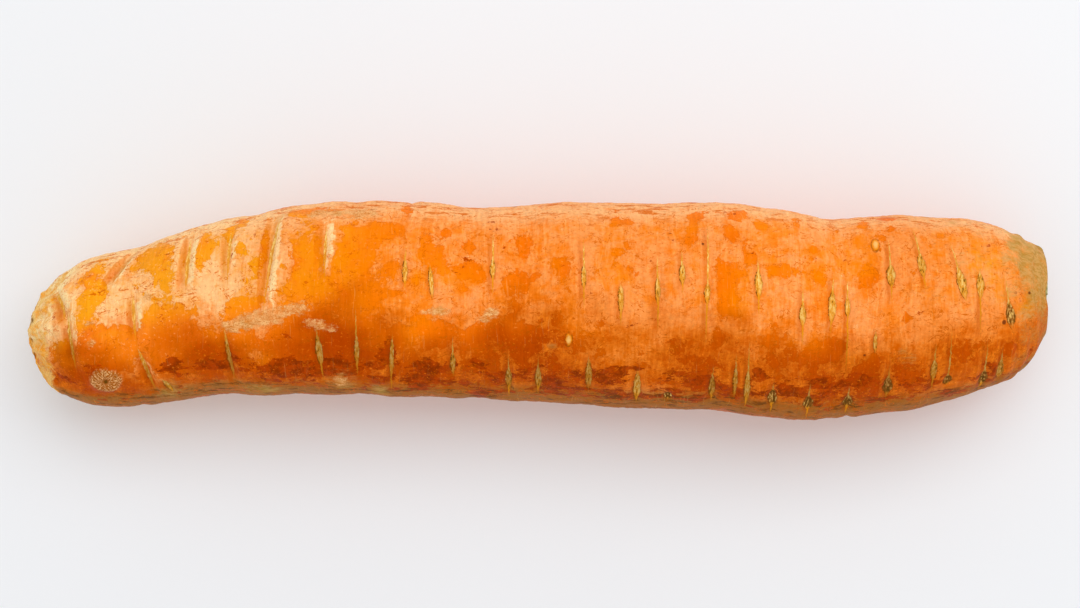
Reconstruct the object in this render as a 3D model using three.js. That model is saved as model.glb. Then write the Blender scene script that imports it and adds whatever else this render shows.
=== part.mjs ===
import * as THREE from 'three';

// A whole carrot lying on its side, in millimetres with Z up.
// The root runs along X: blunt tip at the low end, crown at the high end.

// Overall sizes
const rootLength = 300;
const roundness = 0.97;
const bedding = 0.65;
const tipLift = 2.6;
const crownLift = 2.0;
const liftStartTip = 105;
const liftStartCrown = 236;
const steadyFrom = 26;
const steadyTo = 272;

// Spacing of the faceted skin
const ringStep = 2.4;
const ringPoints = 36;

// Crown: a dish that the trimmed leaf stalks stand in, leaning back a little
const dishRadius = 10.6;
const dishFloor = 295.8;
const crownSide = 2.5;
const crownLean = 0.105;
const leanFrom = 276;
const notchDepth = 0.8;
const notchTurn = 4;
const notchHalfTurn = 13;
const fitGap = 0.35;

// Skin relief
const lumpHeight = 0.42;
const bandHeight = 0.24;
const creaseDepth = 0.5;
const creaseWidth = 1.0;
const pillowHeight = 0.2;
const pitDepth = 0.55;
const furrowWidth = 1.6;
const ridgeWidth = 2.2;
const ridgeOffset = 3.2;
const foldHeight = 0.55;
const foldCount = 9;
const terraceHeight = 0.36;
const terraceAlong = 292.5;

// Corky knob near the tip
const knobAlong = 24.8;
const knobTurn = -40;
const knobRadius = 4.6;
const knobHeight = 1.5;
const knobPit = 0.9;

// Trimmed leaf stalks: crescents that clasp the middle of the crown
const stalkCount = 9;
const goldenTurn = 137.508;
const stalkSpread = 8.6;
const stalkHalfTurn = 56;
const stalkHalfDepth = 1.15;
const stalkTop = 299.8;
const stalkBed = 297.2;
const bedRim = 299.2;
const bedRimFrom = 7.8;
const stalkPoints = 54;
const stalkRings = 14;

// Outline of the root: distance from the tip, half width, sideways centre
const outline = [
  [0, 0, -10.3],
  [0.4, 4, -10],
  [1.4, 7.6, -9.3],
  [3, 10.8, -9],
  [5.5, 14.5, -9.4],
  [9, 17.8, -9.2],
  [15, 21.1, -8.2],
  [21, 22.8, -7.5],
  [27, 23.5, -6.9],
  [33, 23.9, -5.8],
  [44, 25.3, -3.1],
  [56, 26, -0.4],
  [68, 27.1, 0.4],
  [80, 28.1, 1.6],
  [97, 28.4, 1.9],
  [115, 28.4, 1.3],
  [127, 27.9, 0.8],
  [136, 27.8, 0.2],
  [156, 29.1, 0.5],
  [174, 29.7, -0.3],
  [191, 30, -0.6],
  [203, 30.4, -0.5],
  [215, 30.7, -1.9],
  [227, 30.4, -3.1],
  [237, 29.3, -3.9],
  [245, 29.4, -2.9],
  [256, 29.1, -2.4],
  [268, 27.8, -1.6],
  [280, 25.3, -0.6],
  [286, 23.5, -0.4],
  [289.5, 21.8, -0.3],
  [292, 20.2, -0.1],
  [294.3, 18.4, 0.4],
  [296.4, 16.2, 1.1],
  [298, 13.9, 2],
  [299, 12.3, crownSide],
  [299.5, 11.4, crownSide],
];

// Root scars on the side that faces up: distance from the tip, turn from the top
// towards +Y, half length round the girth, half width, reach of the crease
// towards +Y, reach towards -Y, lean of the crease
const scars = [
  [11, 35, 4.5, 0.6, 9, 3, 0],
  [15, 2, 6.5, 0.6, 10, 4, 0],
  [17, -45, 7.5, 0.6, 14, 4, -0.25],
  [29, 47, 3, 0.6, 10, 7, 0.5],
  [34, 9, 6.5, 0.6, 9, 10, -0.15],
  [38, -36, 8.5, 0.6, 10, 10, -0.5],
  [49, 33, 8.5, 0.9, 15, 12, 0],
  [61, 38, 7.5, 0.7, 10, 16, 0],
  [61, -36, 8.5, 0.6, 13, 12, -0.1],
  [73.5, 29, 10.5, 0.9, 23, 22, 0.12],
  [89, 31, 5.5, 0.6, 11, 13, 0],
  [88, -33, 5.5, 1, 10, 14, -0.12],
  [98, -33, 4.5, 0.7, 16, 10, 0],
  [108, -37, 7, 0.7, 10, 16, 0.05],
  [112, 17, 4, 0.7, 10, 7, 0],
  [119.5, 11, 5.5, 0.6, 7, 6, -0.08],
  [125.5, -40, 4.2, 0.7, 11, 6, 0],
  [137, 22, 3.5, 0.7, 15, 10, 0],
  [141.5, -51, 5.2, 0.9, 12, 13, 0],
  [150, -50, 5.4, 0.9, 11, 10, 0],
  [163, 16, 4, 0.7, 15, 12, 0],
  [164.5, -46, 7.3, 0.9, 10, 7, 0],
  [173.5, 4, 5, 0.8, 5, 10, 0],
  [178.5, -54, 8.3, 1.1, 10, 11, 0],
  [184, 9, 4, 0.7, 13, 15, 0],
  [187.5, -61, 2.6, 1.1, 3, 3, 0],
  [191, 18, 3.4, 0.9, 9, 7, 0],
  [198, 7, 3.1, 0.9, 29, 17, 0.03],
  [200, -53, 5.2, 0.9, 11, 9, 0],
  [206.5, -46, 6, 0.6, 12, 9, 0],
  [210, -50, 7.6, 0.9, 21, 13, 0],
  [212.5, 14, 4.4, 1.15, 10, 12, 0],
  [217.5, -56, 7, 1.3, 9, 12, 0],
  [225, 0, 3.5, 1.05, 10, 11, 0],
  [228, -58, 6.2, 1.4, 11, 11, 0],
  [233.5, 6, 5, 1.2, 12, 10, 0.06],
  [238, 6, 2.9, 0.7, 11, 25, 0],
  [239.5, -59, 6.3, 1.2, 10, 9, 0],
  [246, -16, 4, 0.5, 4, 4, 0],
  [250.5, 22, 3.7, 1.25, 15, 10, 0],
  [250.5, -47, 5.2, 1.35, 10, 7, 0],
  [259.5, 28, 4.1, 1.15, 17, 10, -0.12],
  [263.5, -37, 4, 0.9, 11, 11, 0],
  [268, -47, 2.3, 1.3, 20, 3, 0],
  [271, 16, 5.4, 1.3, 17, 7, -0.2],
  [276.5, 14, 4.1, 1.1, 7, 18, 0],
  [279, -55, 6.2, 1.3, 18, 8, 0],
  [284, -50, 5.1, 1.15, 11, 5, 0],
  [286.5, -7, 4.1, 1.15, 15, 4, -0.15],
];

// Folds of the skin, a furrow with a ridge on its crown side: distance from the
// tip, turn, reach towards +Y, reach towards -Y, lean, depth
const folds = [
  [16.5, 2, 14, 6, 0, 0.5],
  [17, -45, 12, 9, -0.25, 0.6],
  [28, 48, 9, 9, 0.45, 1],
  [33, 5, 12, 10, -0.1, 0.55],
  [39, -36, 10, 12, -0.5, 0.6],
  [48.5, 36, 14, 14, 0.05, 0.75],
  [60.5, 38, 12, 14, 0, 0.55],
  [61, -36, 12, 12, -0.1, 0.45],
  [72.5, 30, 20, 20, 0.12, 1],
  [88, 34, 14, 12, 0.02, 0.75],
  [100, -33, 14, 12, 0, 0.35],
  [42, 150, 16, 16, 0.1, 0.8],
  [66, 215, 16, 14, -0.1, 0.6],
];

// Small raised nubs: distance from the tip, turn, half length along the root, half
// length round it, height
const nubs = [
  [158.7, -20.5, 0.9, 1.7, 0.6],
  [246.6, 41, 1, 1.9, 0.5],
  [297.6, 90, 1.3, 1.7, 1],
];

// Root scars drawn with a seed for the sides and the underside
const drawnScars = 30;
const drawSeed = 2672;

function seededDraw(seed) {
  let state = seed;
  return (low, high) => {
    state = (state * 1664525 + 1013904223) % 4294967296;
    return low + (high - low) * (state / 4294967296);
  };
}

function allScars() {
  const draw = seededDraw(drawSeed);
  const list = [...scars];
  for (let k = 0; k < drawnScars; k += 1) {
    const along = 20 + (262 * (k + draw(0.2, 0.8))) / drawnScars;
    const side = k % 2 === 0 ? draw(92, 158) : draw(202, 268);
    const halfLength = draw(3, 6.5);
    const halfWidth = draw(0.7, 1.3);
    const up = halfLength + draw(2, 12);
    const down = halfLength + draw(2, 12);
    list.push([along, side, halfLength, halfWidth, up, down, draw(-0.08, 0.08)]);
  }
  return list;
}

function widthAt(along) {
  for (let i = 1; i < outline.length; i += 1) {
    const [from, widthFrom] = outline[i - 1];
    const [to, widthTo] = outline[i];
    if (along <= to) {
      return widthFrom + ((widthTo - widthFrom) * (along - from)) / (to - from);
    }
  }
  return outline[outline.length - 1][1];
}

function smoothRise(value) {
  const t = Math.min(Math.max(value, 0), 1);
  return t * t * (3 - 2 * t);
}

// Height of the centre line: the underside stays level under the heavy middle
// and lifts a little towards both ends.
function centreHeight(along) {
  const steady = Math.min(Math.max(along, steadyFrom), steadyTo);
  const tip = tipLift * smoothRise((liftStartTip - along) / liftStartTip);
  const crownRun = rootLength - liftStartCrown;
  const crown = crownLift * smoothRise((along - liftStartCrown) / crownRun);
  return roundness * widthAt(steady) - bedding + tip + crown;
}

// How far the crown end leans back at a height above its centre
function leanBack(along, rise) {
  return crownLean * rise * smoothRise((along - leanFrom) / (rootLength - leanFrom));
}

// Notch in the upper edge of the crown's rim
function rimNotch(turn) {
  const gap = ((turn - notchTurn + 540) % 360) - 180;
  return notchDepth * Math.exp(-((gap / notchHalfTurn) ** 2));
}

// Stations of the outline, each with its distance along the outline itself
function stations() {
  let reach = 0;
  return outline.map(([along, width, side], i) => {
    if (i > 0) {
      reach += Math.hypot(along - outline[i - 1][0], width - outline[i - 1][1]);
    }
    return [reach, along, width, side, centreHeight(along)];
  });
}

// Smooth curve through the stations, with its slope, for one column
function curveAt(rows, reach, column) {
  let i = 0;
  while (i < rows.length - 2 && rows[i + 1][0] < reach) {
    i += 1;
  }
  const before = rows[Math.max(i - 1, 0)];
  const from = rows[i];
  const to = rows[i + 1];
  const after = rows[Math.min(i + 2, rows.length - 1)];
  const span = to[0] - from[0];
  const t = (reach - from[0]) / span;
  const slopeFrom = ((to[column] - before[column]) / (to[0] - before[0])) * span;
  const slopeTo = ((after[column] - from[column]) / (after[0] - from[0])) * span;
  const bend = 2 * (from[column] - to[column]) + slopeFrom + slopeTo;
  const lean = 3 * (to[column] - from[column]) - 2 * slopeFrom - slopeTo;
  const value = from[column] + t * (slopeFrom + t * (lean + t * bend));
  const slope = (slopeFrom + t * (2 * lean + 3 * t * bend)) / span;
  return [value, slope];
}

// Distance round the girth from a scar to a point, positive towards +Y
function overScar(turn, scarTurn, girthRadius) {
  const gap = ((turn - scarTurn + 540) % 360) - 180;
  return THREE.MathUtils.degToRad(gap) * girthRadius;
}

// Relief of the scars: a crease that fades at both ends, a low pillow on each
// side of it, and a lens-shaped pit in the middle
function scarRelief(list, along, turn, girthRadius) {
  let relief = 0;
  for (const [scarAlong, scarTurn, halfLength, halfWidth, up, down, lean] of list) {
    const over = overScar(turn, scarTurn, girthRadius);
    const off = along - scarAlong - lean * over;
    if (over > up || over < -down || Math.abs(off) > 7) {
      continue;
    }
    const fade = 1 - (over / (over > 0 ? up : down)) ** 2;
    relief -= creaseDepth * fade * Math.exp(-((off / creaseWidth) ** 2));
    relief += pillowHeight * fade * Math.exp(-(((Math.abs(off) - 3) / 1.6) ** 2));
    const lens = 1 - (over / halfLength) ** 2;
    if (lens > 0) {
      relief -= pitDepth * lens * Math.exp(-((off / (halfWidth + 0.3)) ** 2));
    }
  }
  return relief;
}

// Relief of the folds: a furrow, and a broader ridge beside it, both fading out
function foldRelief(along, turn, girthRadius) {
  let relief = 0;
  for (const [foldAlong, foldTurn, up, down, lean, depth] of folds) {
    const over = overScar(turn, foldTurn, girthRadius);
    const off = along - foldAlong - lean * over;
    if (over < up && over > -down) {
      const fade = 1 - (over / (over > 0 ? up : down)) ** 2;
      relief -= depth * fade * Math.exp(-((off / furrowWidth) ** 2));
      relief += 0.55 * depth * fade * Math.exp(-(((off - ridgeOffset) / ridgeWidth) ** 2));
    }
  }
  return relief;
}

function nubRelief(along, turn, girthRadius) {
  let relief = 0;
  for (const [nubAlong, nubTurn, halfAlong, halfRound, height] of nubs) {
    const over = overScar(turn, nubTurn, girthRadius);
    relief += height * Math.exp(-(((along - nubAlong) / halfAlong) ** 2) - (over / halfRound) ** 2);
  }
  return relief;
}

// A row of the skin bends on to the nearest crease, so the crease runs on an edge
function bendToScar(list, along, turn, girthRadius) {
  let shift = 0;
  let nearest = 0.48 * ringStep;
  for (const [scarAlong, scarTurn, , , up, down, lean] of list) {
    const over = overScar(turn, scarTurn, girthRadius);
    const off = scarAlong + lean * over - along;
    if (over < up && over > -down && Math.abs(off) < nearest) {
      nearest = Math.abs(off);
      shift = off;
    }
  }
  return shift;
}

// Broad lumps and faint bands, level on the underside that the root lies on
function bodyRelief(along, turn) {
  const phi = THREE.MathUtils.degToRad(turn);
  const under = ((turn + 720) % 360) - 180;
  const level = 1 - 0.85 * Math.exp(-((under / 24) ** 2));
  const lumps = Math.sin(2 * phi + along / 41 + 0.8) + 0.7 * Math.sin(3 * phi - along / 27 + 2.1)
    + 0.45 * Math.sin(5 * phi + along / 16 + 0.4);
  const bands = Math.sin(along / 2.7 + 1.1 * Math.sin(phi + along / 19))
    * (0.55 + 0.45 * Math.sin(2 * phi + along / 23));
  return level * (lumpHeight * lumps + bandHeight * bands);
}

// Folds that gather at the blunt tip
function tipFolds(along, turn) {
  const phi = THREE.MathUtils.degToRad(turn);
  const gather = Math.exp(-(((along - 7) / 6) ** 2));
  return foldHeight * gather * Math.sin(foldCount * phi + 1.6 * Math.sin(2 * phi));
}

// Terraces on the shoulder, left by leaves that grew there before
function shoulderTerraces(along, turn) {
  const phi = THREE.MathUtils.degToRad(turn);
  const near = Math.exp(-(((along - terraceAlong) / 4) ** 2));
  return terraceHeight * near * Math.sin(1.35 * along + 2.3 * Math.sin(3 * phi + 0.5));
}

// Round corky knob with a sunken middle
function knobRelief(along, turn, girthRadius) {
  const over = overScar(turn, knobTurn, girthRadius);
  const away = Math.hypot(along - knobAlong, over) / knobRadius;
  return knobHeight * Math.exp(-(away ** 4)) - knobPit * Math.exp(-((away * 3.2) ** 2));
}

function skinPoint(rows, list, reach, turn) {
  const [plainAlong] = curveAt(rows, reach, 1);
  const [plainWidth] = curveAt(rows, reach, 2);
  const bend = bendToScar(list, plainAlong, turn, plainWidth);
  const bent = Math.min(reach + bend * smoothRise((plainWidth - 9) / 4), rows[rows.length - 1][0]);
  const [along, alongSlope] = curveAt(rows, bent, 1);
  const [width, widthSlope] = curveAt(rows, bent, 2);
  const [side] = curveAt(rows, bent, 3);
  const [height] = curveAt(rows, bent, 4);
  const strength = smoothRise(width / 10) * smoothRise((rootLength - along) / 5);
  const relief = strength * (bodyRelief(along, turn) + tipFolds(along, turn)
    + shoulderTerraces(along, turn) + scarRelief(list, along, turn, width)
    + foldRelief(along, turn, width) + knobRelief(along, turn, width))
    + nubRelief(along, turn, width);
  const steep = Math.hypot(alongSlope, widthSlope);
  const outward = (relief * alongSlope) / steep;
  const forward = (-relief * widthSlope) / steep;
  const phi = THREE.MathUtils.degToRad(turn);
  const rise = (width * roundness + outward) * Math.cos(phi);
  const notch = rimNotch(turn) * smoothRise((along - 295) / 4);
  return new THREE.Vector3(
    along + forward - leanBack(along, rise) - notch - rootLength / 2,
    side + (width + outward) * Math.sin(phi),
    Math.max(height + rise, 0),
  );
}

// Closed solid from rings of points: the first and last rings shrink to a pole
function ringSolid(firstPole, rings, lastPole) {
  const count = rings[0].length;
  const points = [firstPole, ...rings.flat(), lastPole];
  const faces = [];
  const at = (ring, k) => 1 + ring * count + (k % count);
  for (let k = 0; k < count; k += 1) {
    faces.push(0, at(0, k), at(0, k + 1));
    for (let ring = 0; ring < rings.length - 1; ring += 1) {
      faces.push(at(ring, k), at(ring + 1, k), at(ring + 1, k + 1));
      faces.push(at(ring, k), at(ring + 1, k + 1), at(ring, k + 1));
    }
    faces.push(points.length - 1, at(rings.length - 1, k + 1), at(rings.length - 1, k));
  }
  const geometry = new THREE.BufferGeometry().setFromPoints(points);
  geometry.setIndex(faces);
  geometry.computeVertexNormals();
  return geometry;
}

function turnOf(k, count) {
  return 180 + (360 * k) / count;
}

function crownPoint(along, radius, turn) {
  const phi = THREE.MathUtils.degToRad(turn);
  const rise = radius * Math.cos(phi);
  return new THREE.Vector3(
    along - crownLean * rise - rootLength / 2,
    crownSide + radius * Math.sin(phi),
    centreHeight(rootLength) + rise,
  );
}

function rootGeometry() {
  const rows = stations();
  const list = allScars();
  const last = rows[rows.length - 1][0];
  const ringCount = Math.round(last / ringStep);
  const rings = [];
  for (let ring = 1; ring <= ringCount; ring += 1) {
    const reach = (last * ring) / ringCount;
    const points = [];
    for (let k = 0; k < ringPoints; k += 1) {
      points.push(skinPoint(rows, list, reach, turnOf(k, ringPoints)));
    }
    rings.push(points);
  }
  const dish = [[299.4, dishRadius + 0.2, 1], [297.5, dishRadius, 0.4], [dishFloor, dishRadius, 0]];
  for (const [along, radius, notched] of dish) {
    const points = [];
    for (let k = 0; k < ringPoints; k += 1) {
      const turn = turnOf(k, ringPoints);
      points.push(crownPoint(along - notched * rimNotch(turn), radius, turn));
    }
    rings.push(points);
  }
  const tip = new THREE.Vector3(-rootLength / 2, outline[0][2], centreHeight(0));
  return ringSolid(tip, rings, crownPoint(dishFloor, 0, 0));
}

// Height of the trimmed stalks over the crown: a bowl that rises to the rim, and in
// it crescents set round the middle by the golden turn, each cut at its own height
function stalkHeight(radius, turn) {
  const rim = smoothRise((radius - bedRimFrom) / 2);
  let height = stalkBed + (bedRim - rimNotch(turn) - stalkBed) * rim;
  for (let k = 0; k < stalkCount; k += 1) {
    const place = stalkSpread * Math.sqrt((k + 0.35) / stalkCount);
    const gap = ((turn - k * goldenTurn + 3600 + 180) % 360) - 180;
    const bow = 1 + 0.07 * (gap / stalkHalfTurn) ** 2;
    const away = Math.hypot(gap / stalkHalfTurn, (radius - place * bow) / stalkHalfDepth);
    const cut = stalkTop - 0.4 * (k % 3);
    height = Math.max(height, stalkBed + (cut - stalkBed) * smoothRise(2.6 - 2 * away));
  }
  return height;
}

function stubGeometry() {
  const edge = dishRadius - fitGap;
  const floor = dishFloor + fitGap;
  const rings = [];
  for (let ring = 0; ring <= stalkRings; ring += 1) {
    const points = [];
    const radius = edge * (1 - ring / (stalkRings + 1));
    for (let k = 0; k < stalkPoints; k += 1) {
      const turn = turnOf(k, stalkPoints);
      points.push(crownPoint(stalkHeight(radius, turn), radius, turn));
    }
    rings.push(points);
  }
  const foot = [];
  for (let k = 0; k < stalkPoints; k += 1) {
    foot.push(crownPoint(floor, edge, turnOf(k, stalkPoints)));
  }
  rings.unshift(foot);
  return ringSolid(crownPoint(floor, 0, 0), rings, crownPoint(stalkHeight(0, 0), 0, 0));
}

const root = rootGeometry();
const stubs = stubGeometry();

// Both pieces move together so that the box of the whole stands on the origin
root.computeBoundingBox();
stubs.computeBoundingBox();
const whole = root.boundingBox.clone().union(stubs.boundingBox);
const middle = whole.getCenter(new THREE.Vector3());
for (const piece of [root, stubs]) {
  piece.translate(-middle.x, -middle.y, -whole.min.z);
}

const rootSkin = new THREE.MeshStandardMaterial({ color: 0xe0741c, roughness: 0.55, metalness: 0 });
const stalkSkin = new THREE.MeshStandardMaterial({ color: 0x7c7a3c, roughness: 0.75, metalness: 0 });

const rootMesh = new THREE.Mesh(root, rootSkin);
rootMesh.name = 'carrot_root';
const stubMesh = new THREE.Mesh(stubs, stalkSkin);
stubMesh.name = 'leaf_stalk_stubs';

const carrot = new THREE.Group();
carrot.name = 'carrot';
carrot.add(rootMesh, stubMesh);

export default carrot;
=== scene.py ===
"""A whole carrot lying on a pale surface.

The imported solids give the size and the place. The root's skin is worked out again
here on a finer grid by the same formulas, and the crown's trimmed leaf stalks too.
"""

import functools

import bpy
import numpy as np
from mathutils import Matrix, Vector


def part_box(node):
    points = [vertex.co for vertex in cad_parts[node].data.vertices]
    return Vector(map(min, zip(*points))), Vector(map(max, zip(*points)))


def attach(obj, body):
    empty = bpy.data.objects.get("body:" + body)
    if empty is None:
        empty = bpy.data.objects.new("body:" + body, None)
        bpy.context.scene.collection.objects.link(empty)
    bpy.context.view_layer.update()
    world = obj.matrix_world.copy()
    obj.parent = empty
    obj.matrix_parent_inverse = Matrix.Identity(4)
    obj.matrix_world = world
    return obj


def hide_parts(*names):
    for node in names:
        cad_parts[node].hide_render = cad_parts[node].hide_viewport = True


bl_info = {
    "name": "Carrot",
    "version": (1, 0, 0),
    "blender": (4, 5, 0),
    "location": "View3D > Sidebar > Carrot",
    "description": "Builds a whole carrot with scarred skin and trimmed leaf stalks",
    "category": "Object",
}

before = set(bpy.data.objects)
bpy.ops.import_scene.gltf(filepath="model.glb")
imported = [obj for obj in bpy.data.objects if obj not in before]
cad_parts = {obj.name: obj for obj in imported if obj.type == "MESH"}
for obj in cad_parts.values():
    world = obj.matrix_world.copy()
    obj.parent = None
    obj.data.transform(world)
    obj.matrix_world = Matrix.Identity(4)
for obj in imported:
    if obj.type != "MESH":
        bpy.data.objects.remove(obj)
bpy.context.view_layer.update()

MM = 0.001
FULL_TURN = 360.0
HALF_TURN = FULL_TURN / 2

# The root's form, in millimetres and degrees
ROOT_LENGTH = 300.0
ROUNDNESS = 0.97
BEDDING = 0.65
TIP_LIFT = 2.6
CROWN_LIFT = 2.0
LIFT_START_TIP = 105.0
LIFT_START_CROWN = 236.0
STEADY_FROM = 26.0
STEADY_TO = 272.0

# The crown: its dish, its lean and the notch in its rim
DISH_RADIUS = 10.6
DISH_FLOOR = 295.8
DISH_WALL = 297.5
DISH_LIP = 299.4
CROWN_SIDE = 2.5
CROWN_LEAN = 0.105
LEAN_FROM = 276
NOTCH_DEPTH = 0.8
NOTCH_TURN = 4
NOTCH_HALF_TURN = 13
NOTCH_FROM = 295

# Relief that the solids carry too
LUMP_HEIGHT = 0.42
BAND_HEIGHT = 0.24
LEVEL_SHARE = 0.85
LEVEL_HALF_TURN = 24
CREASE_DEPTH = 0.5
CREASE_WIDTH = 1.0
PILLOW_HEIGHT = 0.2
PILLOW_OFFSET = 3
PILLOW_WIDTH = 1.6
PIT_DEPTH = 0.55
PIT_MARGIN = 0.3
SCAR_REACH = 7
FURROW_WIDTH = 1.6
RIDGE_WIDTH = 2.2
RIDGE_OFFSET = 3.2
RIDGE_SHARE = 0.55
FOLD_HEIGHT = 0.55
FOLD_COUNT = 9
FOLD_ALONG = 7
FOLD_REACH = 6
TERRACE_HEIGHT = 0.36
TERRACE_ALONG = 292.5
TERRACE_REACH = 4

# Finer relief of the skin
WAVE_HEIGHT = 0.07
LINE_HEIGHT = 0.035
CORK_HEIGHT = 0.16
CORK_ROUGHNESS = 0.12
TIP_LUMP_HEIGHT = 0.22
TIP_ROUGHNESS = 0.1

# Round corky knob near the tip
KNOB_ALONG = 24.8
KNOB_TURN = -40.0
KNOB_RADIUS = 4.6
KNOB_HEIGHT = 1.5
KNOB_PIT = 0.9
KNOB_CRACKS = 11
CRACK_HEIGHT = 0.16
KNOB_FAR = 30

# Trimmed leaf stalks in the dish
STALK_COUNT = 9
GOLDEN_TURN = 137.508
STALK_SPREAD = 8.6
STALK_HALF_TURN = 56
STALK_HALF_DEPTH = 1.15
STALK_TOP = 299.8
STALK_BED = 297.2
BED_RIM = 299.2
BED_RIM_FROM = 7.8
STALK_ROUGHNESS = 0.09
STALK_BOW = 0.07
STALK_STEP = 0.4
STALK_FOOT = 296.15

# Broad lumps: share, lumps round the girth, length of the twist, phase
LUMP_WAVES = ((1, 2, 41, 0.8), (0.7, 3, -27, 2.1), (0.45, 5, 16, 0.4))

# Distance from the tip, half width, sideways centre
OUTLINE = np.array([
    (0, 0, -10.3), (0.4, 4, -10), (1.4, 7.6, -9.3), (3, 10.8, -9), (5.5, 14.5, -9.4),
    (9, 17.8, -9.2), (15, 21.1, -8.2), (21, 22.8, -7.5), (27, 23.5, -6.9), (33, 23.9, -5.8),
    (44, 25.3, -3.1), (56, 26, -0.4), (68, 27.1, 0.4), (80, 28.1, 1.6), (97, 28.4, 1.9),
    (115, 28.4, 1.3), (127, 27.9, 0.8), (136, 27.8, 0.2), (156, 29.1, 0.5), (174, 29.7, -0.3),
    (191, 30, -0.6), (203, 30.4, -0.5), (215, 30.7, -1.9), (227, 30.4, -3.1), (237, 29.3, -3.9),
    (245, 29.4, -2.9), (256, 29.1, -2.4), (268, 27.8, -1.6), (280, 25.3, -0.6), (286, 23.5, -0.4),
    (289.5, 21.8, -0.3), (292, 20.2, -0.1), (294.3, 18.4, 0.4), (296.4, 16.2, 1.1),
    (298, 13.9, 2), (299, 12.3, CROWN_SIDE), (299.5, 11.4, CROWN_SIDE),
])

# Root scars on the side that faces up: distance from the tip, turn from the top
# towards +Y, half length round the girth, half width, reach of the crease towards
# +Y, reach towards -Y, lean of the crease, darkness of the scar's rim
SCARS = [
    (11.3, 28, 6, 0.6, 8, 8, -0.35, 0.05), (15, -6, 8, 0.6, 12, 12, -0.1, 0.2),
    (29, 47, 3, 0.6, 10, 7, 0.5, 0.2), (33.8, 6, 6.5, 0.6, 8, 9, -0.08, 0.05),
    (36.6, -36, 8.5, 0.6, 10, 12, -0.2, 0.25), (42.3, -55, 3.5, 0.8, 5, 5, -0.32, 0.5),
    (49, 33, 8.5, 0.9, 15, 12, 0, 0.05), (61, 38, 7.5, 0.7, 10, 16, 0, 0.05),
    (61, -36, 8.5, 0.6, 13, 12, -0.1, 0.45), (73.5, 29, 10.5, 0.9, 23, 22, 0.12, 0.1),
    (89, 31, 5.5, 0.6, 11, 13, 0, 0.1), (87.3, -33, 5.5, 1, 10, 14, -0.08, 0.7),
    (98, -33, 4.5, 0.7, 16, 10, 0, 0.6), (108, -37, 7, 0.7, 10, 16, 0.05, 0.4),
    (112, 17, 4, 0.7, 10, 7, 0, 0.7), (119.5, 11, 5.5, 0.6, 7, 6, -0.08, 0.6),
    (125.5, -40, 4.2, 0.7, 11, 6, 0, 0.7), (137, 22, 3.5, 0.7, 15, 10, 0, 0.6),
    (141.5, -51, 5.2, 0.9, 12, 13, 0, 0.9), (150, -50, 5.4, 0.9, 11, 10, 0, 0.85),
    (163, 16, 4, 0.7, 15, 12, 0, 0.5), (164.5, -46, 7.3, 0.9, 10, 7, 0, 0.8),
    (173.5, 4, 5, 0.8, 5, 10, 0, 0.65), (178.5, -54, 8.3, 1.1, 10, 11, 0, 0.8),
    (184, 9, 4, 0.7, 13, 15, 0, 0.5), (187.5, -61, 2.6, 1.1, 3, 3, 0, 1),
    (191, 18, 3.4, 0.9, 9, 7, 0, 0.6), (198, 7, 3.1, 0.9, 29, 17, 0.03, 0.6),
    (200, -53, 5.2, 0.9, 11, 9, 0, 0.9), (206.5, -46, 6, 0.6, 12, 9, 0, 0.6),
    (210, -50, 7.6, 0.9, 21, 13, 0, 0.7), (212.5, 14, 4.4, 1.15, 10, 12, 0, 0.7),
    (217.5, -56, 4.2, 1.3, 9, 12, 0, 1), (225, 0, 3.5, 1.05, 10, 11, 0, 0.6),
    (228, -58, 3.6, 1.5, 11, 11, 0, 1), (233.5, 6, 5, 1.2, 12, 10, 0.06, 0.8),
    (238, 6, 2.9, 0.7, 11, 25, 0, 0.7), (239.5, -59, 3.6, 1.4, 10, 9, 0, 1),
    (246, -16, 4, 0.5, 4, 4, 0, 0.4), (250.5, 22, 3.7, 1.25, 15, 10, 0, 0.8),
    (250.5, -47, 4.4, 1.35, 10, 7, 0, 1), (259.5, 28, 4.1, 1.15, 17, 10, -0.12, 0.8),
    (263.5, -37, 4, 0.9, 11, 11, 0, 0.8), (268, -47, 2.3, 1.3, 20, 3, 0, 1),
    (271, 16, 5.4, 1.3, 17, 7, -0.2, 0.85), (276.5, 14, 4.1, 1.1, 7, 18, 0, 0.85),
    (279, -55, 4.4, 1.3, 18, 8, 0, 1), (284, -50, 5.1, 1.15, 11, 5, 0, 0.9),
    (286.5, -7, 4.6, 1.6, 15, 4, -0.15, 1),
]

# Scars drawn from a seed on the far side and on the near one
DRAWN_SCARS = 30
DRAWN_FROM = 20
DRAWN_RUN = 262
FAR_SIDE = (92, 158)
NEAR_SIDE = (202, 268)
DRAW_SEED = 2672
DRAW_FACTOR = 1664525
DRAW_STEP = 1013904223
DRAW_MODULUS = 4294967296

# Folds of the skin: distance from the tip, turn, reach towards +Y, reach towards
# -Y, lean, depth
FOLDS = [
    (11.3, 28, 8, 8, -0.35, 0.7), (15, -6, 12, 12, -0.1, 0.5), (28, 48, 9, 9, 0.45, 1),
    (33.8, 6, 9, 10, -0.08, 0.55), (36.6, -36, 10, 12, -0.2, 0.6), (48.5, 36, 14, 14, 0.05, 0.75),
    (60.5, 38, 12, 14, 0, 0.55), (61, -36, 12, 12, -0.1, 0.45), (72.5, 30, 20, 20, 0.05, 1),
    (88, 34, 14, 12, 0.02, 0.75), (100, -33, 14, 12, 0, 0.35), (42, 150, 16, 16, 0.1, 0.8),
    (66, 215, 16, 14, -0.1, 0.6),
]

# Small raised nubs: distance from the tip, turn, half length along the root, half
# length round it, height
NUBS = [
    (158.7, -20.5, 0.9, 1.7, 0.6), (246.6, 41, 1, 1.9, 0.5), (297.6, 90, 1.3, 1.7, 1),
]

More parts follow.
